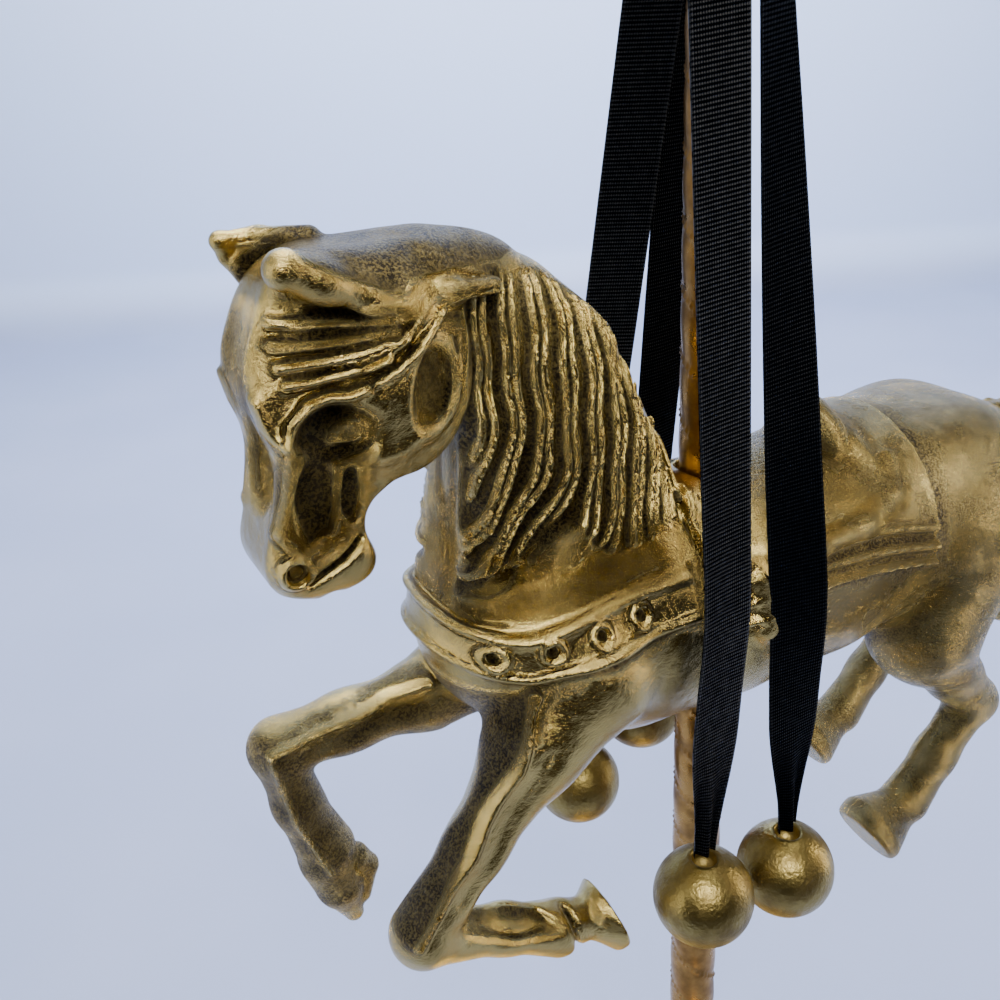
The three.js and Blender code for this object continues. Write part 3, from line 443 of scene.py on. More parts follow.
NEAR_LEG_RELIEF = [
    welt(1.7, 1, (-46, -17), (-50.6, -28), (-58.7, -40.9), (-64.6, -48.2), (-69.8, -54.2)),
    welt(-0.8, 1.6, (-45.5, -27), (-54.6, -42), (-61, -49.5)),
    welt(-0.8, 1.6, (-53, -24), (-61, -38.5), (-67.5, -46.5)),
    dish(-1.5, (-51.5, -62), (9, 1.9), -29, 0.35),
    welt(-1.3, 0.8, (-40.4, -64), (-38.6, -78)),
]
FAR_LEG_RELIEF = [
    welt(1.3, 0.9, (-54, -24.5), (-66, -27), (-82, -29)),
    welt(-0.6, 1.6, (-56, -28.5), (-76, -31.5)),
    welt(0.9, 0.9, (-82, -30), (-79.5, -44), (-75, -57)),
]


def leg_relief(x, y, z):
    near = add_up(NEAR_LEG_RELIEF, x, z) * smooth_step(11.5, 14.5, -y)
    far = add_up(FAR_LEG_RELIEF, x, z) * smooth_step(2, 4, y) * smooth_step(-13, -11, -y)
    return near + far


def hind_leg(side, forward, lift):
    """A hind leg, tucked forward under the belly; side is -1 on the left and 1 on the right."""
    def place(x, y, z, r):
        return (x - forward, side * y, z + lift, r)
    thigh = limb(6, (56, side * 11, -18, 15), place(49, 13, -38, 9.5), place(60, 13, -52, 6))
    gaskin = limb(3, place(60, 13, -52, 5.6), place(67.5, 13, -61, 5.2))
    cannon = limb(3, place(67.5, 13, -61, 4.6), place(58, 13, -72, 4), place(50.5, 13, -80.5, 5))
    ridge = bone(place(71.5, 13, -60, 1.4), place(55, 13.5, -79, 1))
    hoof = trim(1, limb(1, place(49, 13, -81.5, 4), place(41, 13, -84, 7.4)),
                half_space(place(38.5, 13, -85, 0)[:3], (-0.85, 0, -0.52)))
    return blend(2, thigh, gaskin, cannon, ridge, hoof)


def tail():
    lock = narrow(0.75, limb(4, (68, 0, -4, 6), (77, 0, -8, 7), (82, 0, -22, 7.5), (83, 0, -38, 6.5),
                             (87, 0, -52, 3.5)))

    def field(x, y, z):
        groove = smooth_step(0.5, 3, np.abs(y)) * np.cos(np.pi * (x + 0.25 * z) / 2)
        return lock(x, y, z) - 0.6 * groove
    return field


def pole_bore(x, y):
    return np.sqrt(x * x + y * y) - POLE_RADIUS - 2 * FIT_GAP


def horse_field():
    forelegs = blend(3, near_foreleg(), far_foreleg())
    body = blend(3, torso(), maned_neck(), forelegs, hind_leg(-1, 4, 0), hind_leg(1, -2, 5))

    def bare(x, y, z):
        return body(x, y, z) - leg_relief(x, y, z)
    fittings = blend(1.2, saddle(), stirrup(), tail())
    front = blend(1.2, head(), ears())

    def field(x, y, z):
        surface = bare(x, y, z)
        strap = collar(surface, x, z) - stud_relief(x, y, z)
        straps = np.minimum(strap, blanket(surface, x, z))
        dressed = smooth_min(smooth_min(surface, straps, 0.8), fittings(x, y, z), 1.2)
        whole = smooth_min(dressed, front(x, y, z), 1.5)
        return np.maximum(whole, -pole_bore(x, y))
    return field


# ---- From a field to a mesh ----

def sample_field(field, low, high, step):
    """Values on a coarse grid everywhere, and on the fine grid near the surface."""
    low = np.array(low)
    coarse = step * COARSE_FACTOR
    cells = np.ceil((np.array(high) - low) / coarse).astype(int)
    axes = [low[i] + coarse * (np.arange(cells[i]) + 0.5) - step / 2 for i in range(3)]
    cx, cy, cz = np.meshgrid(*axes, indexing="ij")
    middle = field(cx, cy, cz)
    near = np.abs(middle) < coarse * 1.5
    inner = np.arange(COARSE_FACTOR)
    ox, oy, oz = np.meshgrid(inner, inner, inner, indexing="ij")
    values = np.repeat(np.repeat(np.repeat(middle, COARSE_FACTOR, 0), COARSE_FACTOR, 1), COARSE_FACTOR, 2)
    values = values.astype(np.float32)
    base = np.argwhere(near) * COARSE_FACTOR
    for part in np.array_split(base, max(1, len(base) // BLOCKS_AT_ONCE)):
        ix = part[:, 0, None] + ox.ravel()
        iy = part[:, 1, None] + oy.ravel()
        iz = part[:, 2, None] + oz.ravel()
        values[ix, iy, iz] = field(low[0] + step * ix, low[1] + step * iy, low[2] + step * iz)
    return values


def surface_net(values, low, step):
    """One point in each grid cell that the surface crosses, and a quad across each crossed grid edge."""
    shape = values.shape
    strides = (shape[1] * shape[2], shape[2], 1)
    inside = values < 0
    cell_ids, crossings, quads = [], [], []
    for axis in range(3):
        first = [slice(1, n - 1) for n in shape]
        second = list(first)
        second[axis] = slice(2, shape[axis])
        a, b = inside[tuple(first)], inside[tuple(second)]
        i = np.argwhere(a != b) + 1
        j = i.copy()
        j[:, axis] += 1
        va = values[tuple(i.T)]
        vb = values[tuple(j.T)]
        crossing = i.astype(float)
        crossing[:, axis] += va / (va - vb)
        u, v = [(1, 2), (2, 0), (0, 1)][axis]
        flat = i @ np.array(strides)
        around = np.stack([flat - strides[u] - strides[v], flat - strides[v], flat,
                           flat - strides[u]], axis=1)
        flip = va > vb
        around[flip] = around[flip][:, ::-1]
        cell_ids.append(around.ravel())
        crossings.append(np.repeat(crossing, 4, axis=0))
        quads.append(around)
    cell_ids = np.concatenate(cell_ids)
    crossings = np.concatenate(crossings)
    quads = np.concatenate(quads)
    unique, index = np.unique(cell_ids, return_inverse=True)
    count = np.bincount(index)
    points = np.stack([np.bincount(index, crossings[:, i]) / count for i in range(3)], axis=1)
    faces = np.searchsorted(unique, quads)
    return np.array(low) + step * points, faces


def gradient(field, points, h=0.15):
    x, y, z = points.T
    rises = [field(x + h, y, z) - field(x - h, y, z), field(x, y + h, z) - field(x, y - h, z),
             field(x, y, z + h) - field(x, y, z - h)]
    return np.stack(rises, axis=1) / (2 * h)


def settle(points, field, rounds=2):
    """Moves the net's points onto the surface."""
    for _ in range(rounds):
        g = gradient(field, points)
        d = field(*points.T)
        move = np.clip(d / np.maximum((g * g).sum(axis=1), 0.25), -0.25, 0.25)
        points = points - 0.7 * move[:, None] * g
    return points


def hollowness(points, normals, slope, field):
    """From 0 on ridges and open faces to 1 deep in narrow hollows."""
    depth = np.zeros(len(points))
    for reach, weight in ((0.7, 0.3), (1.5, 0.35), (3.5, 0.35)):
        x, y, z = (points + normals * reach).T
        depth += weight * np.clip(1 - field(x, y, z) / (reach * slope), 0, 1)
    return depth


def ridgeness(points, normals, slope, field, depth=0.8):
    """From 0 on flat faces to 1 on sharp ridges, where the polish is brightest."""
    x, y, z = (points - normals * depth).T
    return np.clip(1 + field(x, y, z) / (depth * slope), 0, 1)


def band(v, start, full, fade, end):
    """0 up to start, 1 from full to fade, and 0 again from end on."""
    return smooth_step(start, full, v) * (1 - smooth_step(fade, end, v))


def rough_neck(x, y, z):
    """The skin between the mane's ridges, down the throat and at the neck's foot."""
    side = band(x, -54, -49, -22, -14) * band(z, -3, 5, 46, 50)
    side *= 1 - smooth_step(0, 6, x + 0.55 * z - 8)
    throat = band(x, -64, -61, -54, -49) * band(z, -3, 2, 8, 13)
    between = np.maximum(side, throat) * (1 - np.clip(1.4 * mane_strands(x, y, z), 0, 1))
    bump = dish(1, (-37.5, 4.2), (7, 4.4), 28, 0.6)(x, z)
    foot = band(x, -60, -56, -22, -16) * band(z, -5, -3, 2, 6) * (1 - bump)
    return np.maximum(between, 0.85 * foot)


def rough_head(x, y, z):
    """The crown above the near ear, and the hollows under it, along the nose and in the jaw's plate."""
    over_ear = np.where(x < -58, 52.8 - 0.5 * (x + 73.8), 47)
    crown = smooth_step(0, 1.2, z - over_ear) * (1 - smooth_step(6, 8, y)) * smooth_step(-73, -70, x)
    under_ear = dish(1, (-66, 42.6), (9, 2.4), 6)(x, z)
    nose = dish(1, (-72, 21), (6, 10), -10)(x, z)
    brow = band(z, 22, 30, 43, 47) * (1 - smooth_step(4.5, 6.5, np.abs(y))) * (x < -60)
    plate = dish(1, (-56, 33), (2.6, 5.4), -14)(x, z)
    hollows = np.maximum(np.maximum(under_ear, nose), plate)
    return np.maximum(hollows, np.maximum(1.3 * brow, 2 * crown))


def rough_legs(x, y, z):
    """The near foreleg's face in front of its ridge, and the far foreleg."""
    before_ridge = (-37.2 * (x + 46) + 23.8 * (z + 17)) / 44.2
    shin = 2.1 * smooth_step(-1.5, -0.4, before_ridge) * band(z, -58, -50, -19, -16)
    far = 1.6 * band(z, -78, -66, -31, -25) * (x < -45)
    return np.where(y < 0, shin, far)


def rough_skin(points):
    """Where the casting was left unpolished; the hindquarters are duller too."""
    x, y, z = points.T
    rear = 1.1 * smooth_step(-4, 12, x)
    front = np.maximum(rough_neck(x, y, z), rough_head(x, y, z))
    return np.maximum(front, np.maximum(rough_legs(x, y, z), rear))


def shade_smooth(mesh):
    mesh.polygons.foreach_set("use_smooth", [True] * len(mesh.polygons))


def make_mesh(name, points, faces):
    """A smooth-shaded object from millimetre points and a list or array of faces."""
    mesh = bpy.data.meshes.new(name)
    mesh.from_pydata([tuple(p) for p in np.asarray(points) * METRES], [], [tuple(f) for f in faces])
    mesh.validate()
    mesh.update()
    shade_smooth(mesh)
    obj = bpy.data.objects.new(name, mesh)
    bpy.context.scene.collection.objects.link(obj)
    return obj


def apply_modifiers(obj):
    graph = bpy.context.evaluated_depsgraph_get()
    mesh = bpy.data.meshes.new_from_object(obj.evaluated_get(graph))
    obj.modifiers.clear()
    old = obj.data
    obj.data = mesh
    bpy.data.meshes.remove(old)


def mesh_points(mesh):
    """The mesh's points, in millimetres."""
    flat = np.empty(3 * len(mesh.vertices))
    mesh.vertices.foreach_get("co", flat)
    return flat.reshape(-1, 3) * 1000


def store_value(mesh, name, values):
    layer = mesh.attributes.new(name, "FLOAT", "POINT")
    layer.data.foreach_set("value", np.asarray(values, np.float32))


def thin_out(obj, triangles):
    """Brings a mesh of quads down to about that many triangles."""
    count = 2 * len(obj.data.polygons)
    if count > triangles:
        thin = obj.modifiers.new("thin", "DECIMATE")
        thin.ratio = triangles / count
        apply_modifiers(obj)


def build_horse():
    field = horse_field()
    values = sample_field(field, HORSE_LOW, HORSE_HIGH, FINE_STEP)
    points, faces = surface_net(values, HORSE_LOW, FINE_STEP)
    points = settle(points, field)
    horse = make_mesh("horse_casting", points + (0, 0, SADDLE_HEIGHT), faces)
    thin_out(horse, HORSE_TRIANGLES)
    mesh = horse.data
    points = mesh_points(mesh) - (0, 0, SADDLE_HEIGHT)
    g = gradient(field, points)
    slope = np.maximum(np.linalg.norm(g, axis=1), 0.3)
    normals = g / slope[:, None]
    store_value(mesh, "hollow", hollowness(points, normals, slope, field))
    store_value(mesh, "ridge", ridgeness(points, normals, slope, field))
    store_value(mesh, "rough_skin", rough_skin(points))
    shade_smooth(mesh)
    return horse


# ---- Turned pieces ----

def turned(name, outline, sides, place=(0, 0, 0), shape=None):
    """An outline of (radius, height) turned about Z; shape may move each point."""
    rings = []
    for radius, height in outline:
        if radius < 1e-6:
            rings.append([(0.0, 0.0, height)])
            continue
        ring = []
        for i in range(sides):
            angle = 2 * math.pi * i / sides
            r = shape(radius, angle, height) if shape else radius
            ring.append((r * math.cos(angle), r * math.sin(angle), height))
        rings.append(ring)
    points = [p for ring in rings for p in ring]
    starts = np.cumsum([0] + [len(ring) for ring in rings])
    faces = []
    for k in range(len(rings) - 1):
        a, b = starts[k], starts[k + 1]
        for i in range(sides):
            j = (i + 1) % sides
            if len(rings[k]) == 1:
                faces.append((a, b + j, b + i))
            elif len(rings[k + 1]) == 1:
                faces.append((a + i, a + j, b))
            else:
                faces.append((a + i, a + j, b + j, b + i))
    return make_mesh(name, np.array(points) + place, faces)


def rounded(corners, radius, steps=4):
    """The outline through corners, with each inner corner rounded."""
    points = [corners[0]]
    for before, corner, after in zip(corners, corners[1:], corners[2:]):
        p, q, r = Vector(before), Vector(corner), Vector(after)
        cut = min(radius, (p - q).length / 2.2, (r - q).length / 2.2)
        a = q + (p - q).normalized() * cut
        b = q + (r - q).normalized() * cut
        for i in range(steps + 1):
            t = i / steps
            s = a.lerp(q, t).lerp(q.lerp(b, t), t)
            points.append((s.x, s.y))
    points.append(corners[-1])
    return points


def build_foot():
    """A round foot: stepped rim, shallow dished top and a collar with the pole's socket."""
    socket = POLE_RADIUS + FIT_GAP
    top = FOOT_HEIGHT + COLLAR_HEIGHT
    floor = top - SOCKET_DEPTH
    outline = rounded([
        (0, 0), (FOOT_RADIUS - 0.6, 0), (FOOT_RADIUS, 0.8), (FOOT_RADIUS, 4), (FOOT_RADIUS - 1.5, 6.2),
        (FOOT_RADIUS - 2, 6.6), (FOOT_RADIUS - 3.4, 8.6), (FOOT_RADIUS - 6, 9.9), (FOOT_RADIUS - 8, 9.6),
        (FOOT_RADIUS - 9, 8.8), (FOOT_RADIUS - 12, 9.4), (34, 10.2), (24, 12), (22, 12.8), (20.5, 12.6),
        (16, 13.4), (12.4, 15.2), (12.2, 16.6), (11.4, 17.2), (10.4, 18.2), (9.6, top), (socket + 0.4, top),
        (socket, top - 0.4), (socket, floor), (0, floor)], 0.9)
    return turned("round_foot", outline, FOOT_SIDES)


def build_cap():
    """A thin flared plate under a round knob, bored for the pole."""
    bore = POLE_RADIUS + FIT_GAP
    knob = []
    for degrees in range(-48, 90, 6):
        angle = math.radians(degrees)
        knob.append((KNOB_RADIUS * math.cos(angle), KNOB_HEIGHT + KNOB_RADIUS * math.sin(angle)))
    flare = [(bore, 0), (CAP_RADIUS - 0.4, 0), (CAP_RADIUS, 0.6), (CAP_RADIUS, 1.2), (CAP_RADIUS - 1, 2.2),
             (11, 2.8), (8, 3.8), (7.4, 4.6), (6.8, 6)]
    outline = rounded(flare + knob + [(0, KNOB_HEIGHT + KNOB_RADIUS)], 0.5, 3)
    outline += [(0, CAP_BORE_DEPTH), (bore, CAP_BORE_DEPTH), (bore, 0)]
    return turned("pole_cap", outline, CAP_SIDES, (0, 0, SADDLE_HEIGHT + CAP_UNDERSIDE))


def build_pole():
    """A tube twisted so that two raised seams wind up it."""
    bottom = FOOT_HEIGHT + COLLAR_HEIGHT - SOCKET_DEPTH + FIT_GAP
    top = SADDLE_HEIGHT + CAP_UNDERSIDE + CAP_POLE_DEPTH
    outline = [(0, bottom), (POLE_RADIUS - 0.6, bottom)]
    outline += [(POLE_RADIUS, bottom + (top - bottom) * i / POLE_ROWS) for i in range(POLE_ROWS + 1)]
    outline += [(POLE_RADIUS - 0.6, top), (0, top)]

    def seamed(radius, angle, height):
        turn = (angle / math.pi + height * 2 / SEAM_PITCH) % 1.0
        away = min(turn, 1 - turn) * math.pi * radius
        bulge = 0.3 * math.sin(math.pi * turn)
        return radius - 0.45 + bulge + SEAM_HEIGHT * math.exp(-(away / SEAM_WIDTH) ** 2)
    return turned("twisted_pole", outline, POLE_SIDES, shape=seamed)


def build_ball(number, centre):
    """A ball with a short blind hole in its top for the ribbon."""
    edge = math.acos(BALL_HOLE_RADIUS / BALL_RADIUS)
    rim = BALL_RADIUS * math.sin(edge)
    outline = [(0, -BALL_RADIUS)]
    for i in range(1, BALL_STEPS + 1):
        a = -math.pi / 2 + (edge + math.pi / 2) * i / BALL_STEPS
        outline.append((BALL_RADIUS * math.cos(a), BALL_RADIUS * math.sin(a)))
    outline += [(BALL_HOLE_RADIUS - 0.25, rim - 0.15), (BALL_HOLE_RADIUS - 0.35, rim - 0.6),
                (BALL_HOLE_RADIUS - 0.1, rim - 3), (0, rim - BALL_HOLE_DEPTH)]
    place = (centre[0], centre[1], centre[2] + SADDLE_HEIGHT)
    return turned(f"brass_ball_{number}", outline, BALL_SIDES, place)


# ---- Ribbons ----

# Where each ribbon leaves the cap, bears on the horse's side and ends over its ball's centre.
# Twist is in degrees, at the four places along it.
TWIST_PLACES = (0, 0.35, 0.75, 1)
RIBBONS = [
    {"cap": (-11, -9), "bears": (-13.5, -23, -10), "ball": (-16.3, -22.6, -67.6), "twist": (0, -7, 3, 0)},
    {"cap": (-3, -6.9), "bears": (0.5, -24, -13), "ball": (3.2, -22.4, -71), "twist": (52, 19, -28, 10)},
    {"cap": (5.5, 6.9), "bears": (-11.6, 22, -10), "ball": (-15, 22, -73), "twist": (-27, -31, -30, -20)},
    {"cap": (9.4, 9), "bears": (4.3, 22.6, -10), "ball": (2.1, 23, -61), "twist": (-10, -10, 3, 0)},
]
GATHER_LENGTH = 26.0
GATHER_SHARE = 0.52
PLEAT_DEPTH = 0.9
CUP_DEPTH = 0.25


def ribbon_route(ribbon):
    """Points from under the cap to where it bears on the horse, and on down to the ball."""
    start = np.array([*ribbon["cap"], SADDLE_HEIGHT + CAP_UNDERSIDE - RIBBON_DROP])
    shoulder = np.array(ribbon["bears"], float) + (0, 0, SADDLE_HEIGHT)
    end = np.array(ribbon["ball"], float) + (0, 0, SADDLE_HEIGHT + BALL_RADIUS + FIT_GAP)
    straight = [start + (shoulder - start) * i / 7 for i in range(7)]
    hanging = [shoulder + (end - shoulder) * i / 3 for i in range(4)]
    return np.array(straight + hanging)


def smooth_curve(knots, per_span=8):
    """A Catmull-Rom curve through the knots."""
    padded = np.vstack([2 * knots[0] - knots[1], knots, 2 * knots[-1] - knots[-2]])
    points = []
    for a, b, c, d in zip(padded, padded[1:], padded[2:], padded[3:]):
        for i in range(per_span):
            t = i / per_span
            points.append(0.5 * (2 * b + (c - a) * t + (2 * a - 5 * b + 4 * c - d) * t * t
                                 + (3 * b - a - 3 * c + d) * t ** 3))
    points.append(knots[-1])
    return np.array(points)


def ribbon_frames(path, twist):
    """Evenly spaced centres along the path, with the directions across the strip and out of its face."""
    lengths = np.concatenate([[0], np.cumsum(np.linalg.norm(np.diff(path, axis=0), axis=1))])
    total = lengths[-1]
    along = np.linspace(0, total, RIBBON_ROWS + 1)
    centre = np.stack([np.interp(along, lengths, path[:, i]) for i in range(3)], axis=1)
    tangent = np.gradient(centre, axis=0)
    tangent /= np.linalg.norm(tangent, axis=1)[:, None]
    turn = np.radians(np.interp(along / total, TWIST_PLACES, twist))
    across = np.stack([np.cos(turn), np.sin(turn), np.zeros(RIBBON_ROWS + 1)], axis=1)
    across -= tangent * (across * tangent).sum(axis=1)[:, None]
    across /= np.linalg.norm(across, axis=1)[:, None]
    return along, centre, across, np.cross(tangent, across)


def ribbon_points(number, along, centre, across, facing):
    """The strip's two faces, row by row, gathered into pleats near the ball."""
    total = along[-1]
    gather = smooth_step(total - GATHER_LENGTH, total, along)
    width = RIBBON_WIDTH * (1 - GATHER_SHARE * gather)
    u = np.linspace(-0.5, 0.5, RIBBON_COLUMNS + 1)
    points = []
    for side in (1, -1):
        for r in range(RIBBON_ROWS + 1):
            pleat = PLEAT_DEPTH * gather[r] * np.cos(2 * np.pi * 1.5 * u)
            cup = CUP_DEPTH * np.cos(np.pi * u) * math.sin(along[r] / total * 5 + number)
            depth = pleat + cup + side * RIBBON_THICKNESS / 2
            points.append(centre[r] + np.outer(u * width[r], across[r]) + np.outer(depth, facing[r]))
    return np.concatenate(points)


def ribbon_faces(along):
    """Quads over both faces and the four edges, with weave coordinates in metres."""
    grid = (RIBBON_ROWS + 1) * (RIBBON_COLUMNS + 1)
    us = np.linspace(-0.5, 0.5, RIBBON_COLUMNS + 1)
    us = (us + 0.5) * RIBBON_WIDTH * METRES
    vs = along * METRES
    faces, coords = [], []

    def at(side, r, c):
        return side * grid + r * (RIBBON_COLUMNS + 1) + c

    def quad(corners, uv):
        faces.append(corners)
        coords.extend(uv)

    for r in range(RIBBON_ROWS):
        va, vb = vs[r], vs[r + 1]
        for c in range(RIBBON_COLUMNS):
            ua, ub = us[c], us[c + 1]
            quad((at(0, r, c), at(0, r, c + 1), at(0, r + 1, c + 1), at(0, r + 1, c)),
                 [(ua, va), (ub, va), (ub, vb), (ua, vb)])
            quad((at(1, r, c), at(1, r + 1, c), at(1, r + 1, c + 1), at(1, r, c + 1)),
                 [(ua, va), (ua, vb), (ub, vb), (ub, va)])
        for c in (0, RIBBON_COLUMNS):
            ring = (at(0, r, c), at(0, r + 1, c), at(1, r + 1, c), at(1, r, c))
            quad(ring if c == 0 else ring[::-1], [(us[c], va)] * 4)
    for c in range(RIBBON_COLUMNS):
        for r in (0, RIBBON_ROWS):
            ring = (at(0, r, c), at(1, r, c), at(1, r, c + 1), at(0, r, c + 1))
            quad(ring if r == 0 else ring[::-1], [(0, vs[r])] * 4)
    return faces, coords


def build_ribbon(number, ribbon):
    """A thin woven strip, and the path that it hangs along."""
    path = smooth_curve(ribbon_route(ribbon))
    along, centre, across, facing = ribbon_frames(path, ribbon["twist"])
    faces, coords = ribbon_faces(along)
    piece = make_mesh(f"satin_ribbon_{number}", ribbon_points(number, along, centre, across, facing), faces)
    layer = piece.data.uv_layers.new(name="weave")
    layer.data.foreach_set("uv", np.array(coords, np.float32).ravel())
    return piece, path


# ---- Materials ----

# Colours from light to dark
POLISHED_BRASS = ((0.56, 0.42, 0.135), (0.42, 0.31, 0.1))
PITTED_BRASS = ((0.12, 0.095, 0.055), (0.038, 0.029, 0.018))
POLE_BRONZE = ((0.4, 0.22, 0.06), (0.22, 0.12, 0.035))
STAND_BRASS = ((0.52, 0.36, 0.11), (0.32, 0.21, 0.07))
BALL_BRASS = ((0.31, 0.23, 0.07), (0.2, 0.14, 0.045))
SATIN = ((0.003, 0.0045, 0.007), (0.0004, 0.0006, 0.001))
# The wall colour is much lighter than the floor colour: painted light, making the backdrop brighter towards
# the top.
WALL_PAINTED_LIGHTER = (0.58, 0.71, 1.0)
FLOOR_PALE = ((0.34, 0.4, 0.6), (0.31, 0.37, 0.57))


class Nodes:
    """A material's node tree, with short ways to add and join nodes."""

    def __init__(self, name):
        self.material = bpy.data.materials.new(name)
        self.material.use_nodes = True
        self.tree = self.material.node_tree
        self.shader = self.tree.nodes["Principled BSDF"]

    def add(self, kind, **settings):
        node = self.tree.nodes.new(kind)
        for key, value in settings.items():
            setattr(node, key, value)
        return node

    def join(self, a, b):
        self.tree.links.new(a, b)

    def give(self, socket, value):
        """Sets a socket to a number or a colour, or joins an output to it."""
        if isinstance(value, (int, float)):
            socket.default_value = value
        elif isinstance(value, tuple):
            socket.default_value = (*value, 1.0)
        else:
            self.join(value, socket)

    def set(self, socket, value):
        self.give(self.shader.inputs[socket], value)

    def math(self, operation, a, b=0.0):
        node = self.add("ShaderNodeMath", operation=operation)
        self.give(node.inputs[0], a)
        self.give(node.inputs[1], b)
        return node.outputs[0]

    def plus(self, a, b):
        return self.math("ADD", a, b)

    def times(self, a, b):
        return self.math("MULTIPLY", a, b)

    def minus(self, a, b):
        return self.math("SUBTRACT", a, b)

    def remap(self, value, low, high, to_low=0.0, to_high=1.0):
        node = self.add("ShaderNodeMapRange", interpolation_type="SMOOTHSTEP")
        self.join(value, node.inputs["Value"])
        for key, limit in (("From Min", low), ("From Max", high), ("To Min", to_low), ("To Max", to_high)):
            node.inputs[key].default_value = limit
        return node.outputs[0]

    def noise(self, scale, detail=3.0, roughness=0.55, vector=None):
        node = self.add("ShaderNodeTexNoise")
        node.inputs["Scale"].default_value = scale
        node.inputs["Detail"].default_value = detail
        node.inputs["Roughness"].default_value = roughness
        if vector is None:
            vector = self.position()
        self.join(vector, node.inputs["Vector"])
        return node.outputs["Fac"]

    def position(self):
        return self.add("ShaderNodeNewGeometry").outputs["Position"]

    def stretched(self, scale):
        node = self.add("ShaderNodeMapping")
        self.join(self.position(), node.inputs["Vector"])
        node.inputs["Scale"].default_value = scale
        return node.outputs["Vector"]

    def attribute(self, name):
        return self.add("ShaderNodeAttribute", attribute_name=name).outputs["Fac"]

    def mix(self, factor, a, b):
        node = self.add("ShaderNodeMix", data_type="RGBA")
        for socket, value in ((0, factor), (6, a), (7, b)):
            self.give(node.inputs[socket], value)
        return node.outputs[2]

    def bump(self, height, distance, strength=1.0, normal=None):
        node = self.add("ShaderNodeBump")
        node.inputs["Strength"].default_value = strength
        node.inputs["Distance"].default_value = distance
        self.join(height, node.inputs["Height"])
        if normal is not None:
            self.join(normal, node.inputs["Normal"])
        return node.outputs["Normal"]

    def metal(self, shade, colours, roughness):
        """A metal between two colours by shade, with its roughness."""
        self.set("Base Color", self.mix(shade, *colours))
        self.set("Metallic", 1.0)
        self.set("Roughness", roughness)


def cast_brass():
    """Polished on the high places, brown and pitted in the hollows, with lighter specks between the pits
    painted in as glints.
    """
    n = Nodes("cast_brass")
    rough_skin = n.attribute("rough_skin")
    cloud = n.noise(170.0, 5.0, 0.6)
    grit = n.noise(2300.0, 4.0, 0.7)
    dirt = n.plus(n.attribute("hollow"), n.times(n.minus(cloud, 0.5), 0.6))
    dirt = n.plus(dirt, n.times(rough_skin, 0.25))
    dirt = n.minus(dirt, n.times(n.attribute("ridge"), 1.3))
    dirt = n.remap(dirt, 0.05, 0.55)
    # Painted glints: between the pits the patina is lightened in fine specks, standing in for sparkle off
    # the rough casting.
    pits_and_painted_glints = n.remap(grit, 0.58, 0.44)
    patina_and_painted_glints = n.times(dirt, n.plus(n.times(pits_and_painted_glints, 0.5), 0.5))
    bright = n.mix(n.remap(n.noise(70.0, 3.0), 0.35, 0.65), *POLISHED_BRASS)
    dull = n.mix(n.remap(cloud, 0.35, 0.65), *PITTED_BRASS)
    n.metal(patina_and_painted_glints, (bright, dull), n.remap(dirt, 0.0, 1.0, 0.13, 0.36))
    grain = n.times(grit, n.plus(n.math("MAXIMUM", dirt, rough_skin), 0.06))
    pitting = n.bump(grain, 0.0022)
    n.set("Normal", n.bump(n.noise(140.0, 3.0), 0.0014, 0.5, pitting))
    return n.material


def pole_bronze():
    """Bronze with stains, and fine scratches along it."""
    n = Nodes("pole_bronze")
    cloud = n.noise(220.0, 4.0)
    n.metal(n.remap(cloud, 0.35, 0.7), POLE_BRONZE, n.remap(cloud, 0.3, 0.7, 0.24, 0.42))
    scratches = n.noise(600.0, 2.0, 0.5, n.stretched((1.0, 1.0, 0.1)))
    n.set("Normal", n.bump(scratches, 0.0001, 0.5))
    return n.material


def turned_brass():
    """Clean turned brass with a few stains."""
    n = Nodes("turned_brass")
    cloud = n.noise(60.0, 4.0)
    n.metal(n.remap(cloud, 0.4, 0.75), STAND_BRASS, n.remap(cloud, 0.3, 0.7, 0.2, 0.38))
    n.set("Normal", n.bump(n.noise(500.0, 2.0), 0.0001, 0.4))
    return n.material


def ball_brass():
    """Satin brass with a fine grain."""
    n = Nodes("ball_brass")
    cloud = n.noise(240.0, 4.0)
    n.metal(n.remap(cloud, 0.4, 0.75), BALL_BRASS, n.remap(cloud, 0.3, 0.7, 0.3, 0.48))
    grain = n.bump(n.noise(1400.0, 3.0), 0.00025, 0.6)
    n.set("Normal", n.bump(n.noise(160.0, 2.0), 0.0001, 0.4, grain))
    return n.material


def black_satin(name, gloss):
    """Woven satin: fine slanted ribs across, and a corded edge."""
    n = Nodes(name)
    uv = n.add("ShaderNodeUVMap", uv_map="weave").outputs["UV"]
    split = n.add("ShaderNodeSeparateXYZ")
    n.join(uv, split.inputs[0])
    u, v = split.outputs[0], split.outputs[1]
    slant = n.plus(v, n.times(u, 0.12))
    ribs = n.math("SINE", n.times(slant, 2 * math.pi / (RIB_PITCH * METRES)))
    threads = n.math("SINE", n.times(u, 2 * math.pi / (THREAD_PITCH * METRES)))
    weave = n.plus(n.times(ribs, 0.65), n.times(threads, 0.35))
    half = RIBBON_WIDTH * METRES / 2
    from_middle = n.math("ABSOLUTE", n.minus(u, half))
    selvedge = n.remap(from_middle, half - SELVEDGE_START * METRES, half - SELVEDGE_FULL * METRES)
    lint = n.noise(900.0, 3.0)
    shade = n.remap(n.plus(weave, n.plus(lint, n.times(selvedge, 0.5))), -0.6, 2.2)
    light, dark = SATIN
    n.set("Base Color", n.mix(shade, dark, light))
    n.set("Roughness", 0.36)
    n.set("Specular IOR Level", n.times(n.remap(shade, 0.2, 0.9), gloss))
    n.set("Normal", n.bump(weave, 0.00016))
    return n.material


# ---- Floor, light and camera ----

FLOOR_FRONT = -190.0
WALL_DISTANCE = 900.0
WALL_HEIGHT = 900.0
WALL_BEND = 60.0
BEND_STEPS = 12
FLOOR_HALF_WIDTH = 1400.0


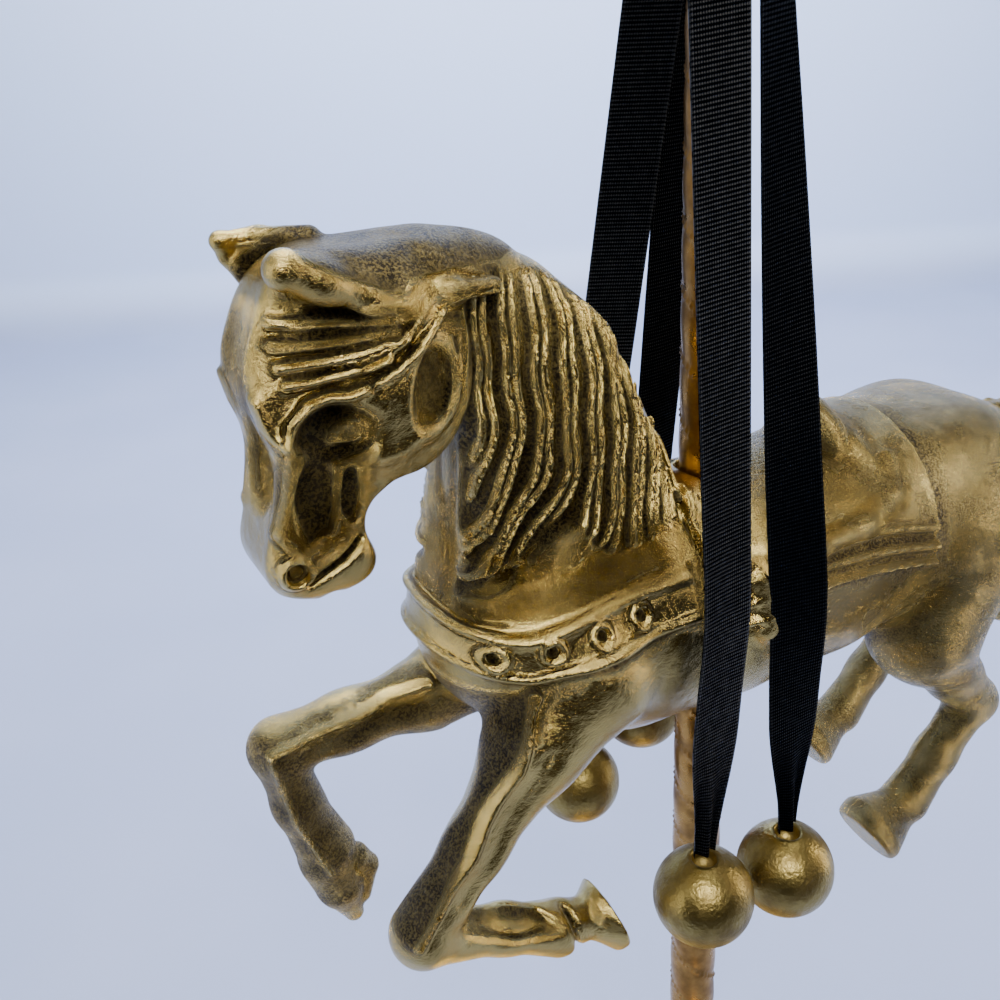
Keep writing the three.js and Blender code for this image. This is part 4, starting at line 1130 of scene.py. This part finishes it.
def floor_material():
    n = Nodes("pale_floor")
    split = n.add("ShaderNodeSeparateXYZ")
    n.join(n.position(), split.inputs[0])
    # Painted light: the sweep takes the lighter wall colour where it turns up, so the backdrop is brighter
    # higher up.
    wall = n.remap(split.outputs[2], 0.0, 0.05)
    light, dark = FLOOR_PALE
    floor = n.mix(n.remap(n.noise(6.0, 2.0), 0.3, 0.7), dark, light)
    n.set("Base Color", n.mix(wall, floor, WALL_PAINTED_LIGHTER))
    n.set("Roughness", 0.6)
    return n.material


def build_floor():
    """A floor that turns up into a wall, square to the camera's view."""
    outline = [(FLOOR_FRONT, 0.0), (WALL_DISTANCE, 0.0)]
    for i in range(1, BEND_STEPS + 1):
        a = math.pi / 2 * i / BEND_STEPS
        outline.append((WALL_DISTANCE + WALL_BEND * math.sin(a), WALL_BEND * (1 - math.cos(a))))
    outline.append((WALL_DISTANCE + WALL_BEND, WALL_HEIGHT))
    c, s = math.cos(math.radians(VIEW_AZIMUTH)), math.sin(math.radians(VIEW_AZIMUTH))
    points = []
    for y, z in outline:
        for w in (-FLOOR_HALF_WIDTH, FLOOR_HALF_WIDTH):
            points.append((c * w - s * y, s * w + c * y, z))
    faces = [(2 * i, 2 * i + 1, 2 * i + 3, 2 * i + 2) for i in range(len(outline) - 1)]
    floor = make_mesh("pale_floor", points, faces)
    floor.data.materials.append(floor_material())


def add_light(name, place, target, size, power, color=(1, 1, 1)):
    light = bpy.data.lights.new(name, "AREA")
    light.shape = "RECTANGLE"
    light.size, light.size_y = size
    light.energy = power
    light.color = color
    obj = bpy.data.objects.new(name, light)
    obj.location = place
    direction = Vector(target) - Vector(place)
    obj.rotation_euler = direction.to_track_quat("-Z", "Y").to_euler()
    bpy.context.scene.collection.objects.link(obj)


def light_world():
    """A room that is pale behind the horse and dark in front."""
    world = bpy.data.worlds.new("studio")
    bpy.context.scene.world = world
    world.use_nodes = True
    tree = world.node_tree
    direction = tree.nodes.new("ShaderNodeTexCoord").outputs["Generated"]
    split = tree.nodes.new("ShaderNodeSeparateXYZ")
    ramp = tree.nodes.new("ShaderNodeValToRGB")
    front, back = ramp.color_ramp.elements
    front.position = 0.42
    front.color = (0.06, 0.053, 0.046, 1)
    back.position = 0.75
    back.color = (0.7, 0.74, 0.9, 1)
    lift = tree.nodes.new("ShaderNodeMath")
    lift.operation = "MULTIPLY_ADD"
    lift.inputs[1].default_value = 0.5
    lift.inputs[2].default_value = 0.5
    tree.links.new(direction, split.inputs[0])
    tree.links.new(split.outputs["Y"], lift.inputs[0])
    tree.links.new(lift.outputs[0], ramp.inputs[0])
    background = tree.nodes["Background"]
    tree.links.new(ramp.outputs[0], background.inputs["Color"])
    background.inputs["Strength"].default_value = 0.8


def light_scene():
    """Broad soft lights, and one small lamp for crisp highlights."""
    light_world()
    centre = (-0.01, 0, 0.2)
    wall = (0.5, 0.95, 0.4)
    add_light("window", (-0.35, -0.55, 0.85), centre, (0.35, 0.3), 7.0)
    add_light("overhead", (0.15, 0.25, 1.0), centre, (0.8, 0.5), 12.0)
    add_light("lamp", (-0.15, -0.75, 0.75), centre, (0.07, 0.07), 1.6)
    add_light("wall_wash", (0.25, 0.35, 0.9), wall, (0.8, 0.2), 20.0, (0.82, 0.88, 1.0))
    add_light("left_strip", (-0.9, 0.1, 0.35), centre, (0.12, 0.8), 2.6)
    add_light("right_fill", (0.8, -0.3, 0.3), centre, (0.2, 0.6), 3.0, (1.0, 0.9, 0.78))


def place_camera():
    """The camera leans down at the horse's near side, and is rolled a little."""
    azimuth, pitch, roll = (math.radians(v) for v in (VIEW_AZIMUTH, VIEW_PITCH, VIEW_ROLL))
    forward = Vector((-math.sin(azimuth) * math.cos(pitch), math.cos(azimuth) * math.cos(pitch),
                      -math.sin(pitch)))
    level = Vector((math.cos(azimuth), math.sin(azimuth), 0))
    upward = level.cross(forward)
    right = level * math.cos(roll) + upward * math.sin(roll)
    up = upward * math.cos(roll) - level * math.sin(roll)
    camera = bpy.data.cameras.new("camera")
    camera.sensor_width = 36.0
    camera.lens = LENS_TO_SENSOR * camera.sensor_width
    camera.clip_start = 0.01
    obj = bpy.data.objects.new("camera", camera)
    axes = Matrix((right, up, -forward)).transposed().to_4x4()
    obj.matrix_world = Matrix.Translation(Vector(VIEW_FROM)) @ axes
    bpy.context.scene.collection.objects.link(obj)
    bpy.context.scene.camera = obj


# ---- The whole scene ----

def finish_piece(piece, material, node):
    piece.data.materials.append(material)
    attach(piece, "root")
    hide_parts(node)


def build_hangings():
    """The four ribbons, each a strip with its ball; two show their ribbed side and two their smooth side.
    """
    brass = ball_brass()
    ribbed_side = black_satin("ribbed_satin", 0.34)
    smooth_side = black_satin("smooth_satin", 0.06)
    sides = [ribbed_side, smooth_side, ribbed_side, smooth_side]
    for i, (ribbon, satin) in enumerate(zip(RIBBONS, sides), 1):
        ball = build_ball(i, ribbon["ball"])
        finish_piece(ball, brass, f"ball_{i}")
        piece, path = build_ribbon(i, ribbon)
        finish_piece(piece, satin, f"ribbon_{i}")
        length = float(np.linalg.norm(np.diff(path, axis=0), axis=1).sum()) * METRES
        [tuple(p * METRES) for p in path]


place_camera()
build_hangings()
finish_piece(build_horse(), cast_brass(), "horse")
finish_piece(build_pole(), pole_bronze(), "pole")
stand_brass = turned_brass()
finish_piece(build_foot(), stand_brass, "foot")
finish_piece(build_cap(), stand_brass, "cap")
build_floor()
light_scene()
